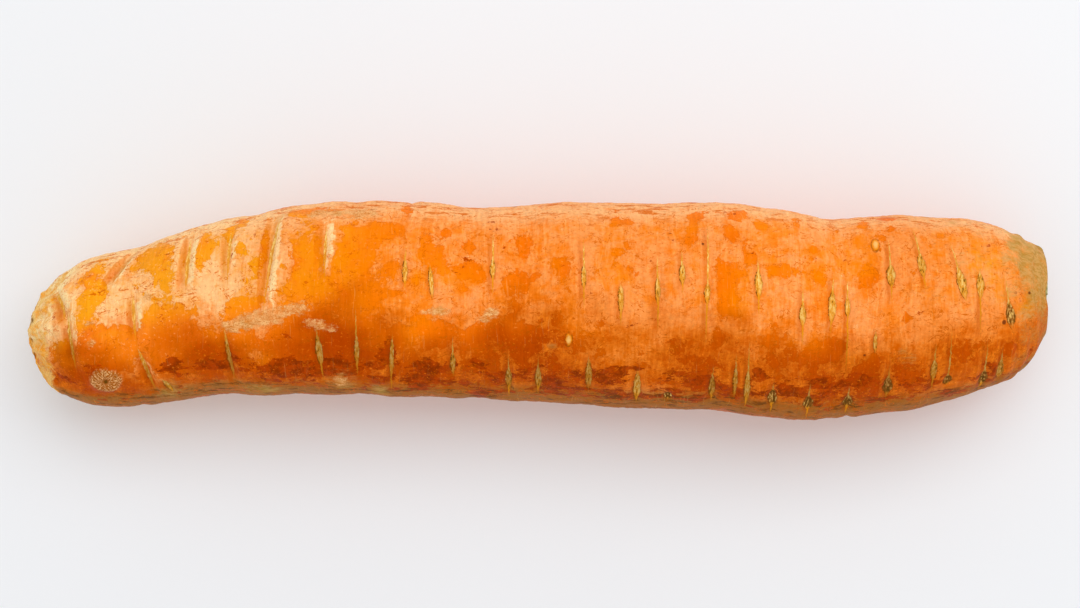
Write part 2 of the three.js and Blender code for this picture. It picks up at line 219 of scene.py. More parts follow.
# How bare the skin is along the root: distance from the tip, share added
BARE_BY_LENGTH = [
    (0, -0.4), (20, 0.1), (60, 0.15), (90, 0.15), (120, -0.1), (150, -0.1), (180, -0.15),
    (210, -0.05), (240, -0.1), (270, -0.25), (290, -0.5), (300, -0.7),
]

# Places where the skin film is gone: distance from the tip, turn, half length
# along the root, half length round it
BARE_SPOTS = [
    (97, 25, 3.5, 10.3), (104, 44, 4.7, 4.6), (112, 64, 2.1, 5.6), (118, 34, 1.8, 3.5),
    (123, 45, 2.4, 2.1), (121, 23, 4.7, 4.4), (131, 20, 4.1, 3.7), (130, 37, 2.6, 1.8),
    (115, 11, 2.6, 2.9), (129, 7, 2.4, 1.7), (143, 13, 3.8, 5.6), (146, 38, 2.4, 4.5),
    (155, 19, 4.7, 3.9), (108, 18, 2.9, 2.4), (110, 4, 2.1, 1.4), (172, 54, 1.5, 2.5),
    (176, 54, 2.1, 2.1), (173, 31, 2.1, 1.3), (195, 60, 2.6, 3.8), (194, 42, 2.9, 4.8),
    (208, 60, 2.9, 4.5), (205, 43, 2.6, 3.2), (214, 53, 2.9, 3), (204, 11, 4.1, 7.6),
    (219, 22, 5.3, 2.5), (211, 28, 2.1, 2.3), (224, 57, 1.5, 2.9), (236, 54, 1.8, 2.6),
    (230, 38, 2.6, 1.5), (230, 21, 3.8, 4.6), (244, 21, 4.4, 6.8), (244, 61, 1.8, 2.5),
    (232, -19, 5.9, 3), (232, -42, 2.1, 3.2), (266, 50, 2.6, 1.9), (252, 55, 1.8, 1.6),
    (251, 73, 2.9, 3.6), (256, -4, 2.4, 2), (265, -10, 1.8, 1.7), (287, -33, 2.6, 1.8),
    (292, 1, 2.1, 2), (255, -38, 2.1, 2.6), (286, -30, 2.6, 2), (244, -31, 2.9, 2.7),
    (53, 39, 2.9, 9.3), (61, 53, 1.8, 4.2), (64, 66, 1.8, 4.4), (64, 35, 1.8, 2.5),
    (69, 24, 1.5, 1.3), (71.5, 35, 1.2, 6.7), (83, 18, 5.3, 11.2), (97, 15, 7.6, 10.6),
    (67, -1, 5.9, 2.8), (81, 64, 5.3, 3), (20, 40, 4.7, 6.9), (24, -7, 8.2, 7),
    (42, -5, 6.2, 4.6), (30, -14, 9, 7), (56, -22, 13, 6), (84, -24, 11, 5), (118, -20, 12, 5),
    (41, 45, 3.8, 7.9), (102, -26, 4.7, 7.5), (131, -19, 2.6, 2.4), (145, -19, 4.1, 4.3),
]

# Places where the film is thick and pale, and places of painted sheen on the top of the root
PINK_AND_SHEEN_SPOTS = [
    (174, -2, 10.3, 6.3), (190, -5, 6.5, 5.1), (219, 11, 4.7, 7), (230, 47, 3.5, 4.5),
    (244, -10, 5.3, 8.8), (272, -6, 12.4, 6.4), (254, 30, 3.5, 6.7), (39, 25, 4.1, 5.9),
    (59, 10, 6.5, 4.7), (27, 13, 3.5, 3), (164, 39, 4.1, 7.8), (126, 0, 7.1, 4),
    (184, 29, 2.4, 5.3), (145, -10, 5.9, 2.9), (76, 45, 2, 12), (56, 20, 2.5, 6), (68, 48, 4, 8),
    (260, -10, 8, 4),
]

# Golden places, and deep red-brown places low on the near side
GOLD_SPOTS = [
    (280, 26, 7.1, 8), (291, 0, 2.5, 2.5), (41, 45, 4.1, 8.5), (20, 40, 5.3, 8),
    (64, 35, 4.1, 7.4), (13, -9, 4.1, 9.2),
]
DARK_SPOTS = [
    (213, -37, 2.1, 2.2), (230, -40, 3.2, 2.3), (154, -54, 2.2, 3.9), (117, -50, 2.4, 2.8),
    (45, -37, 2.1, 1.8), (93, -43, 2.1, 2.4), (133, -75, 2.1, 5.6), (196, -49, 3.5, 3.6),
    (92, -38, 5, 4), (107, -30, 3, 5), (76, -40, 6, 3), (62, -35, 3, 3), (170, -40, 6, 2),
    (180, -36, 3, 2), (243, -38, 4, 3), (23, -30, 4, 3), (80, -47, 8, 3), (222, -46, 3, 2),
    (117, -41, 2.5, 3), (115, -56, 3, 2), (139, -50, 3, 2.5), (132, -38, 3, 1.5),
    (104, -54, 2.5, 2), (170, -48, 2.5, 1.5), (158, -58, 9, 1), (176, -61, 6, 1), (55, -38, 5, 3),
    (43, -33, 4, 3),
]

# Rough corky places, and green ones
CORK_SPOTS = [
    (62, -14, 2.4, 2), (66.5, -11, 3, 2.2), (71, -9, 2.6, 2.2), (76, -8, 2.6, 2.4),
    (82, -5.5, 3, 1.8), (84.5, -14.5, 1.5, 1), (88, -16, 2.2, 1.4), (91.5, -17.5, 1.6, 0.8),
    (91, 61, 1.5, 1.6), (99, 60, 5, 3), (86, 62, 3, 2.2), (121, -6, 3.4, 1.3),
    (137, -5, 1.9, 1.1), (135, -9, 1.4, 1), (93, -55, 2.2, 2.8), (38.2, 15, 1.6, 0.9),
    (21, 5, 1.1, 0.8), (21.4, -9, 1.3, 1.1), (130, 150, 4, 2), (205, 118, 3, 2.5),
    (60, 215, 4, 2), (240, 225, 3, 2), (165, 245, 4, 2),
]
GREEN_SPOTS = [
    (93, -55, 4.1, 5.5), (154, -25, 1.5, 1.3), (293, 38, 4.1, 9), (92, 61, 1.6, 1.6),
    (255, -25, 2.4, 2.5), (122, -6, 1.8, 1.1), (104, -67, 3.5, 5.6), (70, -66, 6, 5),
    (43, -60, 4, 5), (66, -12, 3, 1.5),
]

# Small dark knots: distance from the tip, turn, radius
KNOTS = [
    (243, -23, 0.55), (197, 36, 0.5), (113, 20, 0.8), (146, 18, 0.5), (283.5, -11, 0.8),
    (291.4, 9.8, 0.6), (293.6, 9.5, 0.6), (295.8, 3, 0.9),
]

# Stage, in metres and degrees: the floor lies a hair under the part
FLOOR_REACH = 3.0
FLOOR_GAP = 0.0002
LAMP_SIZE = (1.5, 0.9)
LAMP_PLACE = (0.35, 0.55, 1.25)
LAMP_TILT = (-23.0, 15.6, 0.0)
CAMERA_OVER = (0.0002, 0.0018)

# Weak orange gloss, so that the skin stays coloured where it faces away
SKIN_SHEEN = {"Specular_IOR_Level": 0.025, "Specular_Tint": (1.0, 0.5, 0.06, 1.0)}


# Small helpers
def ramp(value, start, end):
    """0 at the start, 1 at the end, and 3t^2 - 2t^3 of the way between them."""
    t = np.clip((value - start) / (end - start), 0.0, 1.0)
    return t * t * (3.0 - 2.0 * t)


def bell(value):
    """1 at 0, falling to both sides as exp(-value^2)."""
    return np.exp(-(value**2))


def short_way(turn):
    """A turn in degrees brought to between minus and plus half a turn."""
    return (turn + 1.5 * FULL_TURN) % FULL_TURN - HALF_TURN


def linear_colour(red, green, blue):
    """The linear values of a colour given from 0 to 255 as a screen shows it."""
    value = np.array((red, green, blue)) / 255.0
    low = value / 12.92
    high = ((value + 0.055) / 1.055) ** 2.4
    return (*np.where(value <= 0.04045, low, high).tolist(), 1.0)


def seeded_draw(seed):
    """A function that draws evenly between two values: state = a state + c, modulo 2^32."""
    state = seed

    def draw(low, high):
        nonlocal state
        state = (state * DRAW_FACTOR + DRAW_STEP) % DRAW_MODULUS
        return low + (high - low) * (state / DRAW_MODULUS)

    return draw


def all_scars():
    """The scars that face up, then the drawn ones on the sides and the underside."""
    draw = seeded_draw(DRAW_SEED)
    rows = list(SCARS)
    for k in range(DRAWN_SCARS):
        along = DRAWN_FROM + (DRAWN_RUN * (k + draw(0.2, 0.8))) / DRAWN_SCARS
        side = draw(*(NEAR_SIDE if k % 2 else FAR_SIDE))
        half_length = draw(3, 6.5)
        half_width = draw(0.7, 1.3)
        up = half_length + draw(2, 12)
        down = half_length + draw(2, 12)
        lean = draw(-0.08, 0.08)
        rows.append((along, side, half_length, half_width, up, down, lean, 0.5 + 0.1 * (k % 5)))
    return np.array(rows)


def over_mark(turn, mark_turn, girth):
    """Distance round the girth from a mark: the turn between them, the short way, in
    radians, times the radius of the girth."""
    return np.radians(short_way(turn - mark_turn)) * girth


def waves(points, wavelength, count, seed):
    """Smooth uneven field of about unit height: a sum of sine waves in seeded
    directions, with lengths from 0.6 to 1.7 of the one given."""
    rng = np.random.default_rng(seed)
    directions = rng.normal(size=(3, count))
    directions /= np.linalg.norm(directions, axis=0)
    numbers = 2 * np.pi / (wavelength * rng.uniform(0.6, 1.7, count))
    phases = rng.uniform(0, 2 * np.pi, count)
    total = np.sin(points.reshape(-1, 3) @ (directions * numbers) + phases).sum(1)
    return (total / np.sqrt(count / 2)).reshape(points.shape[:-1])


def spots(along, turn, girth, rows):
    """Sum of soft bumps, each a bell of the distance from its centre in its own half
    lengths. A bump is 1 high, or as high as a fifth value in its row says."""
    total = np.zeros_like(along)
    for spot_along, spot_turn, half_along, half_round, *height in rows:
        across = over_mark(turn, spot_turn, girth) / half_round
        peak = height[0] if height else 1.0
        total += peak * bell(np.hypot((along - spot_along) / half_along, across))
    return total


# The root's surface
def centre_height(along):
    """Height of the centre line: the half height less the bedding, level under the
    middle, plus a smooth lift towards the tip and one towards the crown."""
    steady = np.clip(along, STEADY_FROM, STEADY_TO)
    tip = TIP_LIFT * ramp(along, LIFT_START_TIP, 0.0)
    crown = CROWN_LIFT * ramp(along, LIFT_START_CROWN, ROOT_LENGTH)
    return ROUNDNESS * np.interp(steady, OUTLINE[:, 0], OUTLINE[:, 1]) - BEDDING + tip + crown


def stations():
    """Rows of the outline: distance along the outline itself, then distance from the
    tip, half width, sideways centre and height of the centre."""
    steps = np.hypot(np.diff(OUTLINE[:, 0]), np.diff(OUTLINE[:, 1]))
    reach = np.concatenate([[0.0], np.cumsum(steps)])
    return np.column_stack([reach, OUTLINE, centre_height(OUTLINE[:, 0])])


def curve_at(rows, reach):
    """Smooth curve through the rows: a cubic between each two, whose slope at a row is
    that of the line from the row before to the row after. Returns values and slopes."""
    last = len(rows) - 1
    i = np.clip(np.searchsorted(rows[:, 0], reach, "left") - 1, 0, last - 1)
    before, start = rows[np.maximum(i - 1, 0)], rows[i]
    end, after = rows[i + 1], rows[np.minimum(i + 2, last)]
    span = end[:, :1] - start[:, :1]
    t = (reach[:, None] - start[:, :1]) / span
    slope_start = (end - before) / (end[:, :1] - before[:, :1]) * span
    slope_end = (after - start) / (after[:, :1] - start[:, :1]) * span
    bend = 2 * (start - end) + slope_start + slope_end
    lean = 3 * (end - start) - 2 * slope_start - slope_end
    value = start + t * (slope_start + t * (lean + t * bend))
    slope = (slope_start + t * (2 * lean + 3 * t * bend)) / span
    return value[:, 1:], slope[:, 1:]


def lean_back(along, rise):
    """How far the crown end leans back: its slope times the height above the centre,
    with a smooth start along the root."""
    return CROWN_LEAN * rise * ramp(along, LEAN_FROM, ROOT_LENGTH)


def rim_notch(turn):
    """Notch in the upper edge of the crown's rim, a bell round the girth."""
    return NOTCH_DEPTH * bell(short_way(turn - NOTCH_TURN) / NOTCH_HALF_TURN)


def crease_fade(over, up, down):
    """How strong a crease still is: 1 at its mark, less the square of the distance
    round the girth in parts of its reach, and 0 past its ends."""
    inside = (over < up) & (over > -down)
    return np.where(inside, 1 - (over / np.where(over > 0, up, down)) ** 2, 0.0)


def fold_rows(along, turn, girth):
    """For each fold in turn: distance across it, how strong it still is, its depth."""
    for fold_along, fold_turn, up, down, lean, depth in FOLDS:
        over = over_mark(turn, fold_turn, girth)
        yield along - fold_along - lean * over, crease_fade(over, up, down), depth


def fold_relief(along, turn, girth):
    """A furrow as a bell across each fold, less a broader bell beside it, times the
    fold's depth and its fading towards both ends."""
    relief = np.zeros_like(along)
    for off, fade, depth in fold_rows(along, turn, girth):
        ridge = RIDGE_SHARE * bell((off - RIDGE_OFFSET) / RIDGE_WIDTH)
        relief += depth * fade * (ridge - bell(off / FURROW_WIDTH))
    return relief


def scar_relief(along, turn, girth):
    """A crease that fades to both ends, a low pillow on each side of it, and a
    lens-shaped pit in the middle, all as bells across the crease."""
    relief = np.zeros_like(along)
    for scar_along, scar_turn, half_length, half_width, up, down, lean, _ in all_scars():
        over = over_mark(turn, scar_turn, girth)
        off = along - scar_along - lean * over
        fade = crease_fade(over, up, down) * (np.abs(off) < SCAR_REACH)
        pillow = PILLOW_HEIGHT * bell((np.abs(off) - PILLOW_OFFSET) / PILLOW_WIDTH)
        relief += fade * (pillow - CREASE_DEPTH * bell(off / CREASE_WIDTH))
        lens = np.maximum(1 - (over / half_length) ** 2, 0.0) * (fade > 0)
        relief -= PIT_DEPTH * lens * bell(off / (half_width + PIT_MARGIN))
    return relief


def body_relief(along, turn):
    """Broad lumps and faint bands as sines of the turn and the distance from the tip,
    level on the underside that the root lies on."""
    phi = np.radians(turn)
    level = 1 - LEVEL_SHARE * bell(short_way(turn + HALF_TURN) / LEVEL_HALF_TURN)
    lumps = sum(
        share * np.sin(count * phi + along / length + phase)
        for share, count, length, phase in LUMP_WAVES
    )
    bands = np.sin(along / 2.7 + 1.1 * np.sin(phi + along / 19))
    bands = bands * (0.55 + 0.45 * np.sin(2 * phi + along / 23))
    return level * (LUMP_HEIGHT * lumps + BAND_HEIGHT * bands)


def tip_folds(along, turn):
    """Folds that gather at the blunt tip: a sine of the turn under a bell along it."""
    phi = np.radians(turn)
    gather = bell((along - FOLD_ALONG) / FOLD_REACH)
    return FOLD_HEIGHT * gather * np.sin(FOLD_COUNT * phi + 1.6 * np.sin(2 * phi))


def shoulder_terraces(along, turn):
    """Terraces on the shoulder: a sine along the root that wavers round the girth."""
    near = bell((along - TERRACE_ALONG) / TERRACE_REACH)
    waver = 2.3 * np.sin(3 * np.radians(turn) + 0.5)
    return TERRACE_HEIGHT * near * np.sin(1.35 * along + waver)


def knob_relief(along, over, rough):
    """Round corky knob: a flat-topped bell with a narrower bell taken from it, and
    radial cracks as a sine of the direction from its middle."""
    away = np.hypot(along - KNOB_ALONG, over) / KNOB_RADIUS
    spokes = np.sin(KNOB_CRACKS * np.arctan2(over, along - KNOB_ALONG) + 2.0 * rough)
    cracks = CRACK_HEIGHT * bell((away - 0.65) / 0.35) * spokes
    return KNOB_HEIGHT * bell(away**2) - KNOB_PIT * bell(away * 3.2) + cracks


def fine_relief(along, turn, girth, points):
    """Relief finer than the solids carry: small waves over all the skin, a rough raised
    cork, a lumpy tip, and the knob with its cracks."""
    cork = np.clip(1.6 * spots(along, turn, girth, CORK_SPOTS), 0, 1)
    across = points * (1.0, 0.16, 0.16)
    skin = WAVE_HEIGHT * waves(points, 7.0, 28, 11) + LINE_HEIGHT * waves(across, 1.7, 40, 12)
    rough = waves(points, 2.0, 40, 13)
    corky = cork * (CORK_HEIGHT + CORK_ROUGHNESS * rough)
    lumpy = TIP_LUMP_HEIGHT * waves(points, 4.5, 30, 14) + TIP_ROUGHNESS * rough
    knob = knob_relief(along, over_mark(turn, KNOB_TURN, girth), rough)
    return skin + corky + ramp(along, 15, 3) * lumpy + knob


def turn_of(count):
    """Turn of each point round a ring, from the underside."""
    return HALF_TURN + FULL_TURN * np.arange(count) / count


def root_grid(rings, columns):
    """Skin points on a grid of rings by columns, in millimetres from the solids' own
    start: centre line plus the section's radius plus the relief along the outward
    direction of the outline, cut off level at the surface the root lies on. The
    distance from the tip, turn and girth radius of each point come with it."""
    rows = stations()
    reach = np.linspace(0, rows[-1, 0], rings + 1)[1:]
    value, slope = curve_at(rows, reach)
    along, width, side, height = (column[:, None] for column in value.T)
    turn = np.broadcast_to(turn_of(columns), (rings, columns))
    along_all = np.broadcast_to(along, turn.shape).copy()
    girth = np.broadcast_to(width, turn.shape).copy()
    phi = np.radians(turn)
    plain = np.stack([along_all, girth * np.sin(phi), girth * np.cos(phi)], -1)
    strength = ramp(width, 0, 10) * ramp(along, ROOT_LENGTH, ROOT_LENGTH - 5)
    relief = strength * (
        body_relief(along_all, turn)
        + tip_folds(along_all, turn)
        + shoulder_terraces(along_all, turn)
        + scar_relief(along_all, turn, girth)
        + fold_relief(along_all, turn, girth)
        + fine_relief(along_all, turn, girth, plain)
    ) + spots(along_all, turn, girth, NUBS)
    steep = np.hypot(slope[:, 0], slope[:, 1])[:, None]
    outward = relief * slope[:, :1] / steep
    forward = -relief * slope[:, 1:2] / steep
    rise = (girth * ROUNDNESS + outward) * np.cos(phi)
    notch = rim_notch(turn) * ramp(along, NOTCH_FROM, NOTCH_FROM + 4)
    x = along_all + forward - lean_back(along_all, rise) - notch - ROOT_LENGTH / 2
    y = side + (girth + outward) * np.sin(phi)
    z = np.maximum(height + rise, 0.0)
    return np.stack([x, y, z], -1), along_all, turn, girth, plain


def crown_ring(along, radius, columns):
    """Points round the crown's own centre at one radius."""
    return crown_points(along, radius, turn_of(columns))


def crown_points(along, radius, turn):
    """Points at a distance from the tip, a radius and a turn about the crown's own
    centre, leaning back as the crown does."""
    phi = np.radians(turn)
    rise = radius * np.cos(phi)
    x = along - CROWN_LEAN * rise - ROOT_LENGTH / 2
    y = CROWN_SIDE + radius * np.sin(phi)
    return np.stack(np.broadcast_arrays(x, y, centre_height(ROOT_LENGTH) + rise), -1)


def grid_faces(rings, columns):
    """Quads between neighbouring rings and a fan at each pole, all facing outwards.
    Point 0 is the first pole and the last point the other."""
    ring, column = np.meshgrid(np.arange(rings - 1), np.arange(columns), indexing="ij")
    here, there = 1 + ring * columns, 1 + (ring + 1) * columns
    following = (column + 1) % columns
    quads = np.stack([here + column, there + column, there + following, here + following], -1)
    k = np.arange(columns)
    first = np.stack([np.zeros_like(k), 1 + k, 1 + (k + 1) % columns], -1)
    start = 1 + (rings - 1) * columns
    pole = np.full_like(k, 1 + rings * columns)
    last = np.stack([pole, start + (k + 1) % columns, start + k], -1)
    return quads.reshape(-1, 4), first, last


def make_piece(name, points, rings, columns):
    """A smooth closed mesh from the points of its poles and rings, in metres."""
    quads, first, last = grid_faces(rings, columns)
    corners = np.concatenate([first.ravel(), quads.ravel(), last.ravel()])
    sizes = np.concatenate([np.full(len(first), 3), np.full(len(quads), 4), np.full(len(last), 3)])
    starts = np.concatenate([[0], np.cumsum(sizes)[:-1]])
    mesh = bpy.data.meshes.new(name)
    mesh.vertices.add(len(points))
    mesh.vertices.foreach_set("co", np.ascontiguousarray(points * MM, np.float32).ravel())
    mesh.loops.add(len(corners))
    mesh.loops.foreach_set("vertex_index", corners.astype(np.int32))
    mesh.polygons.add(len(sizes))
    mesh.polygons.foreach_set("loop_start", starts.astype(np.int32))
    mesh.polygons.foreach_set("loop_total", sizes.astype(np.int32))
    mesh.polygons.foreach_set("use_smooth", np.ones(len(sizes), bool))
    mesh.update(calc_edges=True)
    if mesh.validate():
        raise RuntimeError(f"{name} has faces that Blender had to mend")
    piece = bpy.data.objects.new(name, mesh)
    bpy.context.scene.collection.objects.link(piece)
    return piece, corners, sizes


def store(mesh, name, values, domain="POINT"):
    """One value or three for each point or corner, which the material reads by name."""
    kind, key = ("FLOAT", "value") if values.ndim == 1 else ("FLOAT_VECTOR", "vector")
    layer = mesh.attributes.new(name, kind, domain)
    layer.data.foreach_set(key, np.ascontiguousarray(values, np.float32).ravel())


def store_sheet(mesh, around, lengthwise):
    """Map of the whole skin unrolled on one sheet."""
    layer = mesh.uv_layers.new(name="OFBake")
    flat = np.stack([lengthwise, around], -1)
    layer.data.foreach_set("uv", np.ascontiguousarray(flat, np.float32).ravel())


def corner_turns(turn, corners, sizes):
    """Turn of each corner, counted on past the seam where its face crosses it."""
    values = turn[corners]
    owner = np.repeat(np.arange(len(sizes)), sizes)
    highest = np.maximum.reduceat(values, np.concatenate([[0], np.cumsum(sizes)[:-1]]))
    return np.where(highest[owner] - values > HALF_TURN, values + FULL_TURN, values)


def nearest_scars(scars, along, turn, girth):
    """Index of the scar whose crease line passes nearest each place: the distance
    across the crease, plus three times the distance past its end."""
    best = np.full(along.shape, np.inf)
    index = np.zeros(along.shape, int)
    for k, (scar_along, scar_turn, _, _, up, down, lean, _) in enumerate(scars):
        over = over_mark(turn, scar_turn, girth)
        past = np.maximum(np.maximum(over - up, -down - over), 0)
        distance = np.abs(along - scar_along - lean * over) + 3 * past
        index = np.where(distance < best, k, index)
        best = np.minimum(distance, best)
    return index


def store_scars(mesh, along, turn, girth, corners, sizes):
    """For each corner, its place against the nearest scar of its face: across the
    crease, along it in half lengths of the scar, and how strong the crease still is.
    The scar's half width and darkness go with it."""
    scars = all_scars()
    starts = np.concatenate([[0], np.cumsum(sizes)[:-1]])
    turns = corner_turns(turn, corners, sizes)
    middles = (
        np.add.reduceat(values, starts) / sizes
        for values in (along[corners], turns, girth[corners])
    )
    row = scars[np.repeat(nearest_scars(scars, *middles), sizes)]
    over = over_mark(turns, row[:, 1], girth[corners])
    off = along[corners] - row[:, 0] - row[:, 6] * over
    fade = 1 - np.abs(over / np.where(over > 0, row[:, 4], row[:, 5]))
    store(mesh, "scar_place", np.stack([off, over / row[:, 2], fade], -1), "CORNER")
    store(mesh, "scar_width", row[:, 3], "CORNER")
    store(mesh, "scar_tone", row[:, 7], "CORNER")


def skin_fields(along, turn, girth, points):
    """Smooth fields that say where each kind of skin lies, and where shade, highlight and
    sheen are painted, as sums of soft steps along the root and round it, of the listed
    spots and of the folds."""
    low = short_way(turn)
    away = np.abs(low)
    by_length = np.interp(along, *zip(*BARE_BY_LENGTH))
    wander = waves(points, 34.0, 24, 21)
    uneven = waves(points, 9.0, 24, 22)

    def patches(rows):
        return np.clip(spots(along, turn, girth, rows), 0, 1.2)

    left = ramp(along, 115, 60)
    # the lower near side: more flesh is bare there, and its colours are darker and redder as
    # painted shade
    shaded_lower_side = ramp(low + 9 * left - 4 * (uneven + wander), 10, -34) * ramp(low, -66, -52)
    # near the underside the skin turns olive-brown, partly its own colour and partly painted shade
    near_limb = ramp(low, -50, -62) * ramp(low, -125, -95)
    under = ramp(away, 120, 160)
    # a band low on the near side where the dark stains lie thicker, as painted shade
    deep = ramp(low, -30, -44) * ramp(low, -76, -64)
    dark = patches(DARK_SPOTS) * (1 - 0.25 * left)
    pale = patches(PINK_AND_SHEEN_SPOTS)
    # fold fields: the pale ridge beside each fold is painted highlight, and the dark furrow in it
    # is painted shade
    ridge, furrow = np.zeros_like(along), np.zeros_like(along)
    for off, fade, depth in fold_rows(along, turn, girth):
        ridge += depth * fade * bell((off - 2.2) / 1.7)
        furrow += depth * fade * bell((off + 1.3) / 1.3)
    green = ramp(along - 4 * uneven, 282, 299) * (0.85 + 0.4 * bell((low - 36) / 34))
    green += 0.22 * ramp(along, 240, 265) * ramp(low, -5, 10)
    bark = ramp(along - 2 * uneven, 17, 5)
    nubs = [(row[0], row[1], row[2] * 1.1, row[3] * 1.1) for row in NUBS]
    gold = 0.85 * ramp(along, 128, 53) * ramp(low, -16, 14) + patches(GOLD_SPOTS)
    bare = by_length + 0.5 * shaded_lower_side + 1.3 * patches(BARE_SPOTS) + 0.7 * dark
    return {
        "bare": bare - 0.7 * ridge + 0.12 * wander - 0.4 * pale - 0.1 * under,
        # pinker film at the listed places and on the side towards +Y, partly thick film and partly
        # painted sheen
        "pink": np.clip(pale + 0.12 * wander + 0.3 * ramp(low, 4, 32) * (1 - bark), 0, 1),
        "low": np.clip(0.8 * shaded_lower_side + 0.08 * wander, 0, 1),
        "dark": dark + (0.55 - 0.2 * left) * deep,
        "gold": np.clip(gold, 0, 1),
        "limb": ramp(away, 46, 68) * ramp(away, 118, 88),
        "olive": np.clip(near_limb + 0.35 * under, 0, 1),
        "cork": patches(CORK_SPOTS),
        "green": np.clip(green + patches(GREEN_SPOTS) + 0.15 * uneven * green, 0, 1.2),
        "bark": bark,
        "cream": bark + 0.6 * ramp(along, 105, 45) * (1 - shaded_lower_side),
        "ridge": np.clip(ridge, 0, 1),
        "furrow": np.clip(furrow, 0, 1),
        "nub": patches(nubs),
        "tail": bell((girth - 7.6 - 0.8 * uneven) / 1.1) * (along < 6),
    }


# Node shorthand
class Finish:
    """Adds the nodes of one material and joins them, one short call for each."""

    def __init__(self, name):
        self.material = bpy.data.materials.new(name)
        self.material.use_nodes = True
        self.tree = self.material.node_tree
        self.tree.nodes.clear()

    def add(self, kind, inputs=None, **settings):
        made = self.tree.nodes.new("ShaderNode" + kind)
        for key, value in settings.items():
            setattr(made, key, value)
        for key, value in (inputs or {}).items():
            socket = made.inputs[key]
            if isinstance(value, bpy.types.NodeSocket):
                self.tree.links.new(value, socket)
            else:
                socket.default_value = value
        return made

    def math(self, operation, *values, clamp=False):
        """One operation on one, two or three values."""
        return self.add(
            "Math", dict(enumerate(values)), operation=operation, use_clamp=clamp
        ).outputs[0]

    def chain(self, operation, values):
        """Values joined one after another by the same operation."""
        return functools.reduce(lambda first, second: self.math(operation, first, second), values)

    def plus(self, *values):
        return self.chain("ADD", values)

    def times(self, *values):
        return self.chain("MULTIPLY", values)

    def most(self, *values):
        return self.chain("MAXIMUM", values)

    def scaled(self, value, factor, offset):
        return self.math("MULTIPLY_ADD", value, factor, offset)

    def sway(self, value, *pairs):
        """A value with fields added, each centred on 0 and spread over its amount."""
        fields = (self.scaled(field, amount, -amount / 2) for field, amount in pairs)
        return self.plus(value, *fields)

    def step(self, value, low, high, to_low=0.0, to_high=1.0):
        """Smooth step of a value from one level to another."""
        values = {0: value, 1: low, 2: high, 3: to_low, 4: to_high}
        return self.add("MapRange", values, interpolation_type="SMOOTHSTEP").outputs[0]

    def near(self, value, level, far, close):
        """1 where a value is close to a level, and 0 where it is far from it."""
        gap = self.math("ABSOLUTE", self.math("SUBTRACT", value, level))
        return self.step(gap, far, close)

    def mix(self, factor, first, second):
        """One colour turning into another."""
        values = {0: factor, 6: first, 7: second}
        return self.add("Mix", values, data_type="RGBA").outputs[2]

    def wash(self, colour, *layers):
        """A colour with others laid over it, each by the product of its factors."""
        for tone, *factors in layers:
            colour = self.mix(self.times(*factors), colour, tone)
        return colour

    def shade(self, vector, factor):
        """A colour made lighter or darker, or a place scaled, by a factor."""
        return self.add("VectorMath", {0: vector, "Scale": factor}, operation="SCALE").outputs[0]

    def noise(self, vector, size, detail=2.0, roughness=0.5, distortion=0.0, output=0):
        """Uneven field from 0 to 1 whose features are about one size across."""
        values = {
            "Vector": vector,
            "Scale": 1.0 / size,
            "Detail": detail,
            "Roughness": roughness,
            "Distortion": distortion,
        }
        return self.add("TexNoise", values).outputs[output]

    def stretch(self, vector, along, across=1.0):
        """The same places scaled along the root and across it, so that a pattern runs
        long where the scale is small."""
        return self.add("Mapping", {0: vector, 3: (along, across, across)}).outputs[0]

    def read(self, name, output="Fac"):
        return self.add("Attribute", attribute_name=name).outputs[output]

    def parts(self, vector):
        return self.add("SeparateXYZ", {0: vector}).outputs

    def millimetres(self):
        """Places on the piece in millimetres."""
        return self.shade(self.add("TexCoord").outputs["Object"], 1 / MM)

    def close(self, colour, roughness, height, bump_strength=1.0, **constants):
        """Ends the material in a Principled shader, with a bump from a height in mm."""
        bump = {"Strength": bump_strength, "Distance": MM, "Height": height}
        normal = self.add("Bump", bump).outputs[0]
        values = {"Base Color": colour, "Roughness": roughness, "Normal": normal}
        values.update({key.replace("_", " "): value for key, value in constants.items()})
        shader = self.add("BsdfPrincipled", values)
        self.add("OutputMaterial", {"Surface": shader.outputs[0]})
        return self.material


